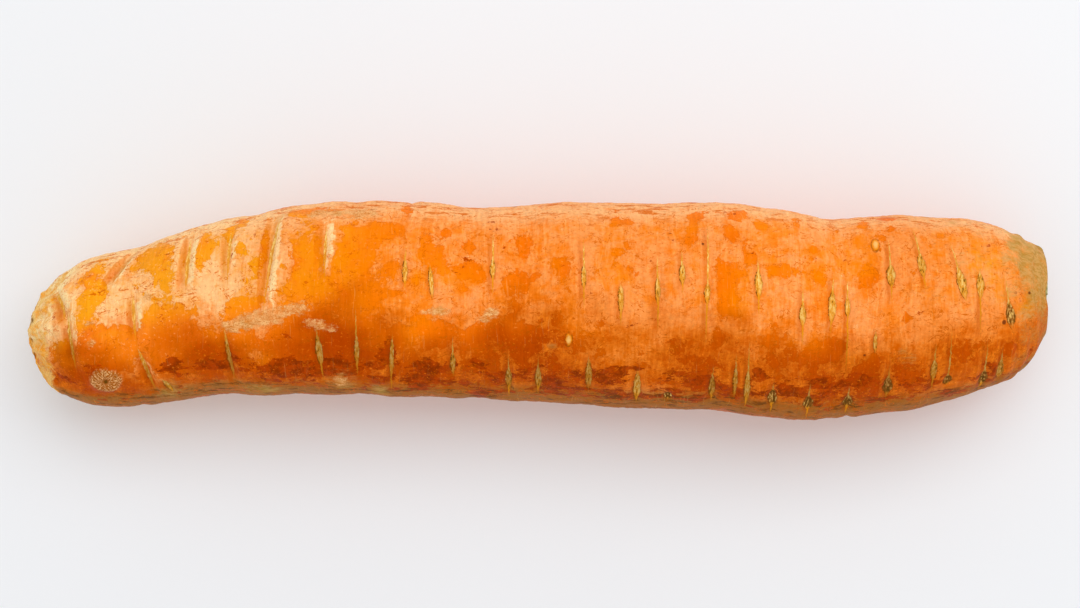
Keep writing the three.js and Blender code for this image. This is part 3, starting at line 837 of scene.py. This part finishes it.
# The materials
def root_skin(look):
    """Dull salmon film over deep orange flesh, with jagged bare patches, fine lines
    round the girth, lens-shaped scars, cork, a knob, a cream tip and a green shoulder.
    Shade is painted low on the near side, near the underside, in the fold furrows, beside
    the creases and at the edges of bare patches; highlight is painted on the fold ridges,
    and sheen on the top."""
    f = Finish("root_skin")
    mm = f.millimetres()
    names = "bare pink low dark gold limb olive cork green cream bark ridge furrow nub tail"
    (bare, pink, low, dark, gold, limb, olive, cork, green, cream, bark, ridge, furrow, nub,
     tail) = map(f.read, names.split())

    # fine lines round the girth, strokes along the root, and uneven fields
    warp = f.shade(f.noise(mm, 9.0, output=1), 2.6)
    bent = f.add("VectorMath", {0: mm, 1: warp}, operation="ADD").outputs[0]
    lines = f.noise(f.stretch(bent, 1.0, 0.06), 0.8, 4.0, 0.65)
    broad_lines = f.noise(f.stretch(bent, 1.0, 0.1), 3.2, 4.0, 0.6)
    strokes = f.noise(f.stretch(bent, 0.26), 1.9, 6.0, 0.68)
    haze = f.step(f.noise(mm, 15.0, 3.0), 0.32, 0.66)
    mottle = f.noise(bent, 2.8, 7.0, 0.72)
    flecks = f.noise(mm, 0.9, 5.0, 0.75)
    grain = f.noise(mm, 0.45, 3.0, 0.65)

    # the nearest scar: how far across its crease, how wide its spindle is here
    place = f.parts(f.read("scar_place", "Vector"))
    tone = f.read("scar_tone")
    off = f.sway(place[0], (f.noise(mm, 1.5, 4.0, 0.65), 0.9))
    away = f.math("ABSOLUTE", off)
    lens = f.most(f.math("SUBTRACT", 1.0, f.times(place[1], place[1])), 0.0)
    lens = f.math("POWER", lens, 1.5)
    crease_here = f.step(place[2], 0.0, 0.6)
    width = f.times(f.read("scar_width"), f.scaled(tone, 0.4, 0.44), f.scaled(flecks, 0.9, 0.55))
    halo = f.times(f.step(away, 3.4, 1.2), crease_here)

    # where the film is gone: a jagged field against the smooth one from the mesh
    blotch = f.noise(bent, 9.0, 8.0, 0.68, 0.2)
    streak = f.noise(f.stretch(bent, 0.28), 4.5, 8.0, 0.68, 0.2)
    ragged = f.add("Mix", {0: limb, 2: blotch, 3: streak}, data_type="FLOAT").outputs[0]
    level = f.sway(bare, (ragged, 5.0), (mottle, 1.8), (lines, 0.8))
    level = f.plus(level, f.times(halo, -0.35))
    gone = f.step(level, 0.46, 0.6)
    # inner edge of each bare patch, where the film's thickness casts a painted shadow
    edge = f.times(gone, f.step(level, 0.95, 0.6))
    # film thickness, which also carries the painted sheen
    thick = f.sway(pink, (f.noise(bent, 6.5, 8.0, 0.66, 0.3), 5.0), (mottle, 2.6), (lines, 1.6))
    thick = f.step(f.plus(thick, f.times(limb, 0.5), f.times(halo, 0.5)), -0.6, 1.1)
    # painted highlight on the fold ridges, painted shade in the fold furrows
    ridge = f.step(f.sway(ridge, (mottle, 2.2), (lines, 0.8)), 0.28, 0.75)
    furrow = f.step(f.sway(furrow, (mottle, 1.2)), 0.25, 0.6)

    # how much film covers the flesh
    cover = f.plus(f.scaled(thick, 0.36, 0.5), f.times(limb, 0.2), f.times(low, -0.3))
    cover = f.sway(cover, (haze, 0.1), (mottle, 1.9), (broad_lines, 0.4))
    cover = f.plus(cover, f.scaled(lines, 0.65, -0.33), f.times(cream, 0.16), f.times(ridge, 0.7))
    cover = f.math("MINIMUM", f.most(cover, 0.04), 0.97)
    cover = f.times(cover, f.scaled(gone, -0.95, 1.0), f.scaled(furrow, -0.6, 1.0))

    # colours of the flesh and of the film
    flesh = f.wash(
        f.mix(haze, look.flesh, look.flesh_deep),
        (look.flesh_gold, gold, f.step(blotch, 0.3, 0.55)),
        # painted shade: redder flesh low on the near side
        (look.flesh_red_and_shade, low),
        (look.gash, furrow, 0.35),
        (look.flesh_olive_and_shade, olive, 0.55),
    )
    flesh = f.shade(flesh, f.scaled(lines, 0.35, 0.83))
    film = f.wash(
        f.mix(thick, look.film, look.film_pink_and_sheen),
        (look.film_pale, limb, 0.75),
        (look.film_cream, cream, 0.85),
        (look.film_cream, ridge, 0.8),
        # painted shade: darker film low on the near side
        (look.film_shaded_low, low, 1.25),
        (look.film_olive_and_shade, olive, 0.9),
    )
    film = f.shade(film, f.plus(f.scaled(lines, 0.35, 0.34), f.scaled(flecks, 0.95, 0.03)))
    colour = f.mix(cover, flesh, film)
    # painted shadow of the film's thickness along the inner edge of each bare patch, and gash
    # colour as painted shade in the fold furrows
    colour = f.wash(colour, (f.shade(colour, 0.72), edge, 0.25), (look.gash, furrow, 0.2))

    # deep red-brown stains with sharp edges, low on the near side: the listed stains, and more of
    # them in a band there as painted shade
    stain = f.sway(dark, (f.noise(f.stretch(bent, 0.5), 4.2, 7.0, 0.7), 4.0), (mottle, 1.4))
    stain = f.step(stain, 0.66, 0.74)
    stain_colour = f.mix(f.step(mottle, 0.4, 0.6), look.flesh_dark, look.flesh_red_and_shade)

    # gashes on the far side, dry streaks on the near one, scratches and pale flecks
    gash = f.times(f.step(strokes, 0.565, 0.585), limb, f.scaled(olive, -0.8, 0.9))
    dry_streak = f.times(f.step(strokes, 0.445, 0.405), olive)
    scratch = f.near(f.noise(f.stretch(bent, 0.6), 3.4, 3.0, 0.6, 0.8), 0.5, 0.016, 0.006)
    scratch = f.times(scratch, f.step(f.noise(mm, 5.0, 3.0, 0.6), 0.43, 0.53))
    # scratches are darker low on the near side, as painted shade
    scratch_colour = f.mix(f.times(low, 0.6), look.gash, look.flesh_dark)
    hair = f.noise(f.stretch(bent, 2.2, 0.09), 0.9, 3.0, 0.6)
    colour = f.wash(
        colour,
        (stain_colour, stain, 0.9),
        (look.gash, gash),
        (look.streak, dry_streak, 0.8),
        (scratch_colour, scratch, 0.9),
        (look.crease, f.step(hair, 0.64, 0.7), f.scaled(low, -0.1, 0.16)),
    )
    fleck = f.times(f.step(flecks, 0.58, 0.66), f.scaled(low, 0.1, 0.45))
    pock = f.times(f.step(flecks, 0.4, 0.32), f.scaled(low, 0.3, 0.5))
    colour = f.wash(colour, (f.shade(colour, 0.6), f.step(hair, 0.36, 0.3), 0.3))
    colour = f.wash(colour, (f.shade(film, 1.12), fleck))
    colour = f.wash(colour, (f.shade(colour, 0.66), pock))

    # green shoulder and cream tip with its tail
    fibres = f.noise(f.stretch(bent, 0.2), 0.9, 6.0, 0.7)
    veiled = f.sway(green, (fibres, 1.8), (f.noise(mm, 4.0, 8.0, 0.7), 2.6))
    tint = f.times(f.step(veiled, 0.1, 1.4), f.step(green, 0.03, 0.3))
    # the shoulder is darker low on the near side, as painted shade
    green_skin = f.mix(low, look.shoulder_dark, look.knob)
    pale_skin = f.mix(f.times(low, 0.7), look.shoulder, look.cork_line)
    shoulder = f.mix(f.step(fibres, 0.4, 0.6), green_skin, pale_skin)
    bark = f.step(f.sway(bark, (f.noise(bent, 4.0, 8.0, 0.68), 2.4)), 0.75, 1.0)
    bark_colour = f.mix(f.step(mottle, 0.4, 0.58), look.tip_gold, look.tip_bark)
    tail = f.times(tail, f.step(f.noise(mm, 1.1, 5.0, 0.7), 0.42, 0.54))

    # rough corky places with worm-like lines
    rough = f.noise(f.stretch(mm, 0.6), 1.5, 8.0, 0.75)
    corky = f.times(f.step(f.sway(cork, (rough, 3.0)), 0.2, 0.7), f.step(cork, 0.04, 0.3))
    worm = f.near(f.noise(f.stretch(mm, 0.7), 1.0, 2.0, 0.5, 2.2), 0.5, 0.06, 0.02)
    cork_colour = f.mix(f.step(rough, 0.36, 0.62), look.cork_dark, look.cork)
    cork_colour = f.wash(cork_colour, (look.cork_line, worm, 0.7))

    # round knob with short lines that run from its middle
    knob = f.read("knob_place", "Vector")
    from_middle = f.add("VectorMath", {0: knob}, operation="LENGTH").outputs["Value"]
    sides = f.parts(knob)
    angle = f.math("ARCTAN2", sides[1], sides[0])
    spokes = f.plus(f.times(angle, 19.0), f.times(f.noise(mm, 1.4, 4.0, 0.65), 26.0))
    spokes = f.step(f.math("SINE", spokes), -0.4, 0.5)
    spokes = f.times(spokes, f.step(from_middle, 0.4, 1.4), f.step(flecks, 0.36, 0.54))
    knob_here = f.step(f.sway(from_middle, (mottle, 4.0)), 5.2, 3.7)
    middle = f.step(f.sway(from_middle, (flecks, 1.6)), 0.9, 0.3)
    knob_colour = f.wash(f.mix(spokes, look.knob, look.cork), (look.scar_dark, middle))
    colour = f.wash(
        colour,
        (shoulder, tint, 0.88),
        (bark_colour, bark, 0.85),
        (look.streak, tail, 0.9),
        (cork_colour, corky, f.step(mottle, 0.3, 0.6, 0.45, 0.9)),
        (look.scar_rim, worm, bark, 0.3),
        (knob_colour, knob_here, 0.85),
    )

    # scars: a spindle that thins into the crease at both ends, streaked inside, with a
    # thin broken rim, stronger on the tip side as painted shade, and a painted shadow beside
    # the crease on that side; the darkest ones are mottled brown
    half = f.plus(f.times(width, lens), f.times(crease_here, 0.22))
    past = f.math("SUBTRACT", away, half)
    inside = f.times(f.step(past, 0.1, -0.08), crease_here)
    broken = f.step(f.noise(mm, 0.9, 4.0, 0.7), 0.4, 0.54)
    rim_shade_side = f.step(off, 0.3, -0.3, 0.35, 1.0)
    rim = f.times(f.near(past, 0.04, 0.3, 0.06), broken, rim_shade_side)
    rim = f.times(rim, f.step(tone, 0.1, 0.6), f.step(lens, -0.05, 0.35))
    speck = f.noise(f.stretch(mm, 2.2, 0.6), 1.1, 4.0, 0.65)
    darkest = f.step(tone, 0.88, 1.0)
    core = f.plus(speck, f.scaled(tone, 0.1, -0.1), f.times(darkest, 0.04))
    core = f.times(inside, f.step(lens, 0.1, 0.5), f.step(core, 0.56, 0.62))
    inner = f.wash(
        f.mix(f.step(speck, 0.38, 0.54), look.crease, look.scar),
        (look.crease_gold, f.step(place[1], 0.0, -1.1)),
        (look.scar_brown, darkest, f.step(lens, 0.1, 0.6), f.step(speck, 0.4, 0.47)),
        # browner scars low on the near side, as painted shade
        (look.scar_brown, low, 0.6),
        (look.scar_brown, f.step(tone, 0.72, 0.84), 0.12),
    )
    inner = f.shade(inner, f.scaled(grain, 0.3, 0.86))
    # painted shadow beside each crease, on its tip side
    shadow = f.times(f.near(off, -0.9, 1.2, 0.1), crease_here)

    # small raised nubs and small dark knots
    nub_colour = f.mix(f.step(nub, 0.45, 0.9), look.crease_gold, look.tip_bark)
    nub_colour = f.wash(nub_colour, (look.shoulder_dark, f.step(green, 0.2, 0.5)))
    nub_rim = f.times(f.near(nub, 0.3, 0.14, 0.04), broken)
    colour = f.wash(
        colour,
        (f.shade(flesh, 0.7), shadow, 0.55),
        (inner, inside, 0.9),
        (look.scar_dark, core, 0.75),
        (look.scar_rim, rim, 0.95),
        (nub_colour, f.step(f.sway(nub, (flecks, 1.4)), 0.3, 0.6, 0.0, 0.75)),
        (look.scar_rim, nub_rim, 0.6),
    )
    for centre, radius in knot_places():
        gap = f.add("VectorMath", {0: mm, 1: centre}, operation="DISTANCE").outputs["Value"]
        colour = f.wash(colour, (look.knot, f.step(gap, 1.15 * radius, 0.6 * radius), 0.85))

    # height in millimetres from smooth fields only, and roughness
    swell = f.noise(bent, 2.6)
    pores = f.noise(mm, 0.8)
    girth_lines = f.noise(f.stretch(bent, 1.0, 0.08), 1.3)
    heights = (
        (gone, -0.03), (girth_lines, 0.16), (swell, 0.26), (pores, 0.07), (inside, 0.08),
        (f.most(corky, bark, tint), pores, 0.1), (core, -0.1), (knob_here, spokes, 0.1),
    )
    height = f.plus(*(f.times(*factors) for factors in heights))
    roughness = f.sway(f.scaled(gone, -0.14, 0.46), (grain, 0.16))
    dry = f.times(f.most(corky, bark, inside, tint), 0.22)
    roughness = f.math("ADD", roughness, dry, clamp=True)
    return f.close(colour, roughness, height, **SKIN_SHEEN)


def knot_places():
    """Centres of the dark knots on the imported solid's frame, in millimetres, and their
    radii: a place on the plain section at the knot's turn."""
    shift_x, shift_y, shift_z = frame_shift()
    for along, turn, radius in KNOTS:
        width, side = (np.interp(along, OUTLINE[:, 0], OUTLINE[:, k]) for k in (1, 2))
        y = side + width * np.sin(np.radians(turn))
        z = centre_height(along) + width * ROUNDNESS * np.cos(np.radians(turn))
        yield (along - ROOT_LENGTH / 2 + shift_x, float(y) + shift_y, float(z) + shift_z), radius


def stalk_skin(look):
    """Cut stalk ends: pale green-cream faces with brown edges and fine fibres."""
    f = Finish("stalk_skin")
    mm = f.millimetres()
    cut = f.read("cut")
    fibre = f.noise(f.stretch(mm, 0.25), 0.5, 6.0, 0.7)
    blotch = f.noise(mm, 2.2, 8.0, 0.7)
    side = f.mix(f.step(blotch, 0.4, 0.6), look.stalk_dark, look.stalk)
    face = f.wash(
        f.mix(f.step(blotch, 0.36, 0.6), look.stalk_dry, look.stalk_cut),
        (look.stalk_dark, f.step(f.noise(mm, 0.6), 0.58, 0.66), 0.6),
        (look.stalk_dark, f.step(cut, 0.98, 0.8, 0.0, 0.6)),
    )
    colour = f.mix(f.step(cut, 0.45, 0.75), side, face)
    colour = f.shade(colour, f.scaled(fibre, 0.7, 0.65))
    height = f.plus(f.times(fibre, 0.25), f.times(blotch, 0.3))
    return f.close(colour, f.scaled(fibre, 0.2, 0.65), height, Specular_IOR_Level=0.3)


def pale_floor(look):
    """Plain pale surface with a barely uneven tone."""
    f = Finish("pale_floor")
    mm = f.millimetres()
    colour = f.mix(f.noise(mm, 180.0, 3.0), look.floor, look.floor_shade)
    return f.close(colour, 0.6, f.times(f.noise(mm, 3.0), 0.01), 0.3)


# Properties
def tone(name, description, *value):
    """A colour with its name, its meaning and its value from 0 to 255."""
    return bpy.props.FloatVectorProperty(
        name=name,
        description=description,
        subtype="COLOR",
        size=4,
        min=0.0,
        max=1.0,
        default=linear_colour(*value),
    )


class CarrotSkinSettings(bpy.types.PropertyGroup):
    """Detail and colours of the root's skin."""

    rings: bpy.props.IntProperty(
        name="Rings", description="Rings of points along the root", default=612, min=60, max=640
    )
    columns: bpy.props.IntProperty(
        name="Columns", description="Points round each ring", default=156, min=24, max=160
    )
    flesh: tone("Flesh", "Bare flesh where the film is gone", 254, 130, 0)
    flesh_deep: tone("Deep flesh", "Redder bare flesh", 248, 114, 0)
    flesh_gold: tone("Gold flesh", "Yellow flesh towards the tip", 255, 160, 4)
    # red flesh: the colour of the stains, and painted shade low on the near side
    flesh_red_and_shade: tone("Red flesh", "Redder flesh low on the side", 182, 64, 0)
    flesh_dark: tone("Dark flesh", "Deep red-brown flesh", 132, 44, 0)
    # olive flesh: its own colour near the underside, and painted shade
    flesh_olive_and_shade: tone("Olive flesh", "Flesh near the underside", 142, 68, 0)
    film: tone("Film", "Dull skin film", 252, 142, 44)
    # pink film: thicker film, and painted sheen on the top
    film_pink_and_sheen: tone("Pink film", "Thicker, pinker film", 253, 158, 85)
    film_pale: tone("Pale film", "Film on the far side", 250, 190, 128)
    # cream film: towards the tip, and painted highlight on the fold ridges
    film_cream: tone("Cream film", "Film towards the tip", 255, 228, 166)
    # low film: darker film low on the near side, as painted shade
    film_shaded_low: tone("Low film", "Film low on the near side", 234, 124, 26)
    # olive film: its own colour near the underside, and painted shade
    film_olive_and_shade: tone("Olive film", "Film near the underside", 150, 86, 0)
    # gash colour: gashes, and painted shade in the fold furrows
    gash: tone("Gash", "Short gashes through the film", 222, 106, 2)
    streak: tone("Dry streak", "Dry dark streaks", 104, 58, 6)
    crease: tone("Crease", "Pale line of a crease", 255, 216, 122)
    crease_gold: tone("Gold crease", "Lower end of a crease", 240, 150, 14)
    scar: tone("Scar", "Inside of a scar", 232, 160, 44)
    scar_dark: tone("Scar cracks", "Cracks inside a scar", 96, 72, 18)
    scar_brown: tone("Brown scar", "Inside of the darkest scars", 140, 88, 30)
    scar_rim: tone("Scar rim", "Rim round a scar", 128, 68, 4)
    cork: tone("Cork", "Rough corky skin", 255, 200, 132)
    cork_dark: tone("Cork shade", "Darker corky skin", 218, 130, 50)
    cork_line: tone("Cork line", "Fine lines in the cork", 190, 102, 18)
    knob: tone("Knob", "Round corky knob", 178, 98, 20)
    knot: tone("Knot", "Small dark knots", 104, 44, 18)
    shoulder: tone("Shoulder", "Skin round the crown", 208, 162, 92)
    shoulder_dark: tone("Green shoulder", "Green skin round the crown", 168, 134, 52)
    tip_bark: tone("Tip bark", "Cream bark at the tip", 255, 206, 120)
    tip_gold: tone("Tip gold", "Golden bark at the tip", 255, 166, 42)


class CarrotStalkSettings(bpy.types.PropertyGroup):
    """Detail and colours of the trimmed leaf stalks."""

    rings: bpy.props.IntProperty(
        name="Rings", description="Rings of points from edge to middle", default=72, min=12, max=120
    )
    columns: bpy.props.IntProperty(
        name="Columns", description="Points round each ring", default=232, min=24, max=300
    )
    stalk: tone("Stalk", "Side of a stalk base", 136, 134, 62)
    stalk_dark: tone("Dark stalk", "Dried edge of a stalk base", 84, 66, 30)
    stalk_cut: tone("Cut face", "Fresh part of a cut face", 196, 190, 120)
    stalk_dry: tone("Dry face", "Dried part of a cut face", 158, 128, 74)


class CarrotStageSettings(bpy.types.PropertyGroup):
    """Floor, light and camera."""

    floor: tone("Floor", "Pale surface the carrot lies on", 242, 244, 247)
    floor_shade: tone("Floor shade", "Slightly deeper tone of it", 239, 241, 244)
    camera_height: bpy.props.FloatProperty(
        name="Camera height", description="Camera above the surface", default=0.8, unit="LENGTH"
    )
    lens: bpy.props.FloatProperty(name="Lens", description="Focal length in mm", default=87.3)
    key_power: bpy.props.FloatProperty(
        name="Key light", description="Power of the large soft light", default=7.5, unit="POWER"
    )
    fill_strength: bpy.props.FloatProperty(
        name="Fill light", description="Strength of the even light all round", default=0.76
    )


# Operators
def frame_shift():
    """How far the solids stand from their own start, in millimetres: along the root
    from its tip, across it from the middle of the stalk bases."""
    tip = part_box("carrot_root")[0][0] / MM
    low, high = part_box("leaf_stalk_stubs")
    across = (low[1] + high[1]) / 2 / MM
    return tip + ROOT_LENGTH / 2, across - CROWN_SIDE, 0.0


def fit_to_node(points, node):
    """Points moved and scaled a hair so that their box is the solid's own box, in mm."""
    low, high = (np.array(corner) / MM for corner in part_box(node))
    own_low, own_high = points.min(0), points.max(0)
    return low + (points - own_low) * ((high - low) / (own_high - own_low))


def hand_over(piece, node, material):
    """The piece takes the solid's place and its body."""
    piece.data.materials.append(material)
    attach(piece, "root")
    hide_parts(node)


class CARROT_OT_root(bpy.types.Operator):
    """Build the root with its skin"""

    bl_idname = "carrot.root"
    bl_label = "Build root"

    def execute(self, context):
        settings = context.scene.carrot_skin
        rings, columns = settings.rings, settings.columns
        grid, along, turn, girth, plain = root_grid(rings, columns)
        notch = rim_notch(turn_of(columns))
        dish = [
            (DISH_LIP - notch, DISH_RADIUS + 0.2),
            (DISH_WALL - 0.4 * notch, DISH_RADIUS),
            (DISH_FLOOR, DISH_RADIUS),
        ]
        hollow = np.stack([crown_ring(place, radius, columns) for place, radius in dish])
        tip = (-ROOT_LENGTH / 2, OUTLINE[0, 2], centre_height(0.0))
        pole = crown_ring(DISH_FLOOR, 0.0, columns)[:1]
        points = np.concatenate([[tip], grid.reshape(-1, 3), hollow.reshape(-1, 3), pole])
        points = fit_to_node(points, "carrot_root")
        piece, corners, sizes = make_piece("root_skin_piece", points, rings + len(dish), columns)

        def whole(values, at_tip, at_crown):
            crown = np.full(len(dish) * columns + 1, at_crown)
            return np.concatenate([[at_tip], values.ravel(), crown])

        along_all = whole(along, 0.0, ROOT_LENGTH)
        girth_all = whole(girth, 0.5, DISH_RADIUS)
        turn_all = whole(turn, HALF_TURN, HALF_TURN)
        turn_all[-1 - len(dish) * columns:-1] = np.tile(turn_of(columns), len(dish))
        inner = np.concatenate([hollow.reshape(-1, 3), pole]) + (ROOT_LENGTH / 2, 0, 0)
        place_all = np.concatenate([[(0, 0, 0)], plain.reshape(-1, 3), inner])
        mesh = piece.data
        for name, values in skin_fields(along_all, turn_all, girth_all, place_all).items():
            store(mesh, name, values)
        over = over_mark(turn_all, KNOB_TURN, girth_all)
        knob = np.stack([along_all - KNOB_ALONG, over, np.zeros_like(over)], -1)
        store(mesh, "knob_place", np.clip(knob, -KNOB_FAR, KNOB_FAR))
        store_scars(mesh, along_all, turn_all, girth_all, corners, sizes)
        last = rings + len(dish) + 1
        ring = np.concatenate([[0], np.repeat(np.arange(1, last), columns), [last]])
        turns = corner_turns(turn_all, corners, sizes)
        store_sheet(mesh, (turns - HALF_TURN) / FULL_TURN, ring[corners] / last)
        hand_over(piece, "carrot_root", root_skin(settings))
        return {"FINISHED"}


def stalk_heights(radius, turn):
    """Height of the trimmed stalks: a bowl that rises to the rim, and in it crescents
    set round the middle by the golden turn, each a soft-edged band on its own radius
    that bows outwards at its ends, cut off at its own height. Also gives how far each
    place is up on a cut face."""
    rim = ramp(radius, BED_RIM_FROM, BED_RIM_FROM + 2)
    height = STALK_BED + (BED_RIM - rim_notch(turn) - STALK_BED) * rim
    cut_face = np.zeros(turn.shape)
    for k in range(STALK_COUNT):
        place = STALK_SPREAD * np.sqrt((k + 0.35) / STALK_COUNT)
        gap = short_way(turn - k * GOLDEN_TURN) / STALK_HALF_TURN
        bow = 1 + STALK_BOW * gap**2
        away = np.hypot(gap, (radius - place * bow) / STALK_HALF_DEPTH)
        cut = STALK_TOP - STALK_STEP * (k % 3)
        rise = ramp(away, 1.3, 0.8)
        height = np.maximum(height, STALK_BED + (cut - STALK_BED) * rise)
        cut_face = np.maximum(cut_face, rise)
    return height, cut_face


class CARROT_OT_stalks(bpy.types.Operator):
    """Build the trimmed leaf stalks on the crown"""

    bl_idname = "carrot.stalks"
    bl_label = "Build leaf stalks"

    def execute(self, context):
        settings = context.scene.carrot_stalks
        rings, columns = settings.rings, settings.columns
        edge = DISH_RADIUS - 0.05
        radius = edge * (1 - np.arange(rings)[:, None] / rings)
        turn = np.broadcast_to(turn_of(columns), (rings, columns))
        height, cut = stalk_heights(radius, turn)
        flat = crown_points(height, radius, turn)
        height = height + STALK_ROUGHNESS * waves(flat, 1.8, 30, 31) * (0.4 + 0.6 * cut)
        top = crown_points(np.minimum(height, STALK_TOP), radius, turn)
        foot = crown_ring(STALK_FOOT, edge, columns)
        under = crown_ring(STALK_FOOT, 0.0, columns)[:1]
        middle = top[-1].mean(0)[None]
        points = np.concatenate([under, foot, top.reshape(-1, 3), middle]) + frame_shift()
        piece = make_piece("stalk_bases_piece", points, rings + 1, columns)[0]
        cut = np.concatenate([np.zeros(columns + 1), cut.ravel(), cut[-1:, 0]])
        store(piece.data, "cut", cut)
        hand_over(piece, "leaf_stalk_stubs", stalk_skin(settings))
        return {"FINISHED"}


class CARROT_OT_stage(bpy.types.Operator):
    """Set the floor, the light and the camera"""

    bl_idname = "carrot.stage"
    bl_label = "Set stage"

    def execute(self, context):
        settings = context.scene.carrot_stage
        scene = context.scene
        mesh = bpy.data.meshes.new("floor")
        sides = ((-1, -1), (1, -1), (1, 1), (-1, 1))
        corners = [(x * FLOOR_REACH, y * FLOOR_REACH, -FLOOR_GAP) for x, y in sides]
        mesh.from_pydata(corners, [], [(0, 1, 2, 3)])
        mesh.materials.append(pale_floor(settings))
        floor = bpy.data.objects.new("floor", mesh)
        scene.collection.objects.link(floor)

        key = bpy.data.lights.new("key_light", "AREA")
        key.shape = "RECTANGLE"
        key.size, key.size_y = LAMP_SIZE
        key.energy = settings.key_power
        lamp = bpy.data.objects.new("key_light", key)
        lamp.location = LAMP_PLACE
        lamp.rotation_euler = np.radians(LAMP_TILT)
        scene.collection.objects.link(lamp)

        world = bpy.data.worlds.new("studio")
        world.use_nodes = True
        sky = world.node_tree.nodes["Background"].inputs
        sky[0].default_value = (1.0, 1.0, 1.0, 1.0)
        sky[1].default_value = settings.fill_strength
        scene.world = world

        eye = bpy.data.cameras.new("camera")
        eye.lens = settings.lens
        eye.sensor_width = 36.0
        camera = bpy.data.objects.new("camera", eye)
        camera.location = (*CAMERA_OVER, settings.camera_height)
        scene.collection.objects.link(camera)
        scene.camera = camera
        scene.view_settings.view_transform = "Standard"
        return {"FINISHED"}


class CARROT_PT_panel(bpy.types.Panel):
    """Steps that build the carrot"""

    bl_idname = "CARROT_PT_panel"
    bl_label = "Carrot"
    bl_space_type = "VIEW_3D"
    bl_region_type = "UI"
    bl_category = "Carrot"

    def draw(self, context):
        layout = self.layout
        for operator in (CARROT_OT_root, CARROT_OT_stalks, CARROT_OT_stage):
            layout.operator(operator.bl_idname)
        for group in ("carrot_skin", "carrot_stalks", "carrot_stage"):
            settings = getattr(context.scene, group)
            box = layout.box()
            for name in settings.__annotations__:
                box.prop(settings, name)


CLASSES = (
    CarrotSkinSettings,
    CarrotStalkSettings,
    CarrotStageSettings,
    CARROT_OT_root,
    CARROT_OT_stalks,
    CARROT_OT_stage,
    CARROT_PT_panel,
)


def register():
    for item in CLASSES:
        bpy.utils.register_class(item)
    bpy.types.Scene.carrot_skin = bpy.props.PointerProperty(type=CarrotSkinSettings)
    bpy.types.Scene.carrot_stalks = bpy.props.PointerProperty(type=CarrotStalkSettings)
    bpy.types.Scene.carrot_stage = bpy.props.PointerProperty(type=CarrotStageSettings)


def unregister():
    for name in ("carrot_skin", "carrot_stalks", "carrot_stage"):
        delattr(bpy.types.Scene, name)
    for item in reversed(CLASSES):
        bpy.utils.unregister_class(item)


def main():
    register()
    bpy.ops.carrot.root()
    bpy.ops.carrot.stalks()
    bpy.ops.carrot.stage()


if __name__ == "__main__":
    main()
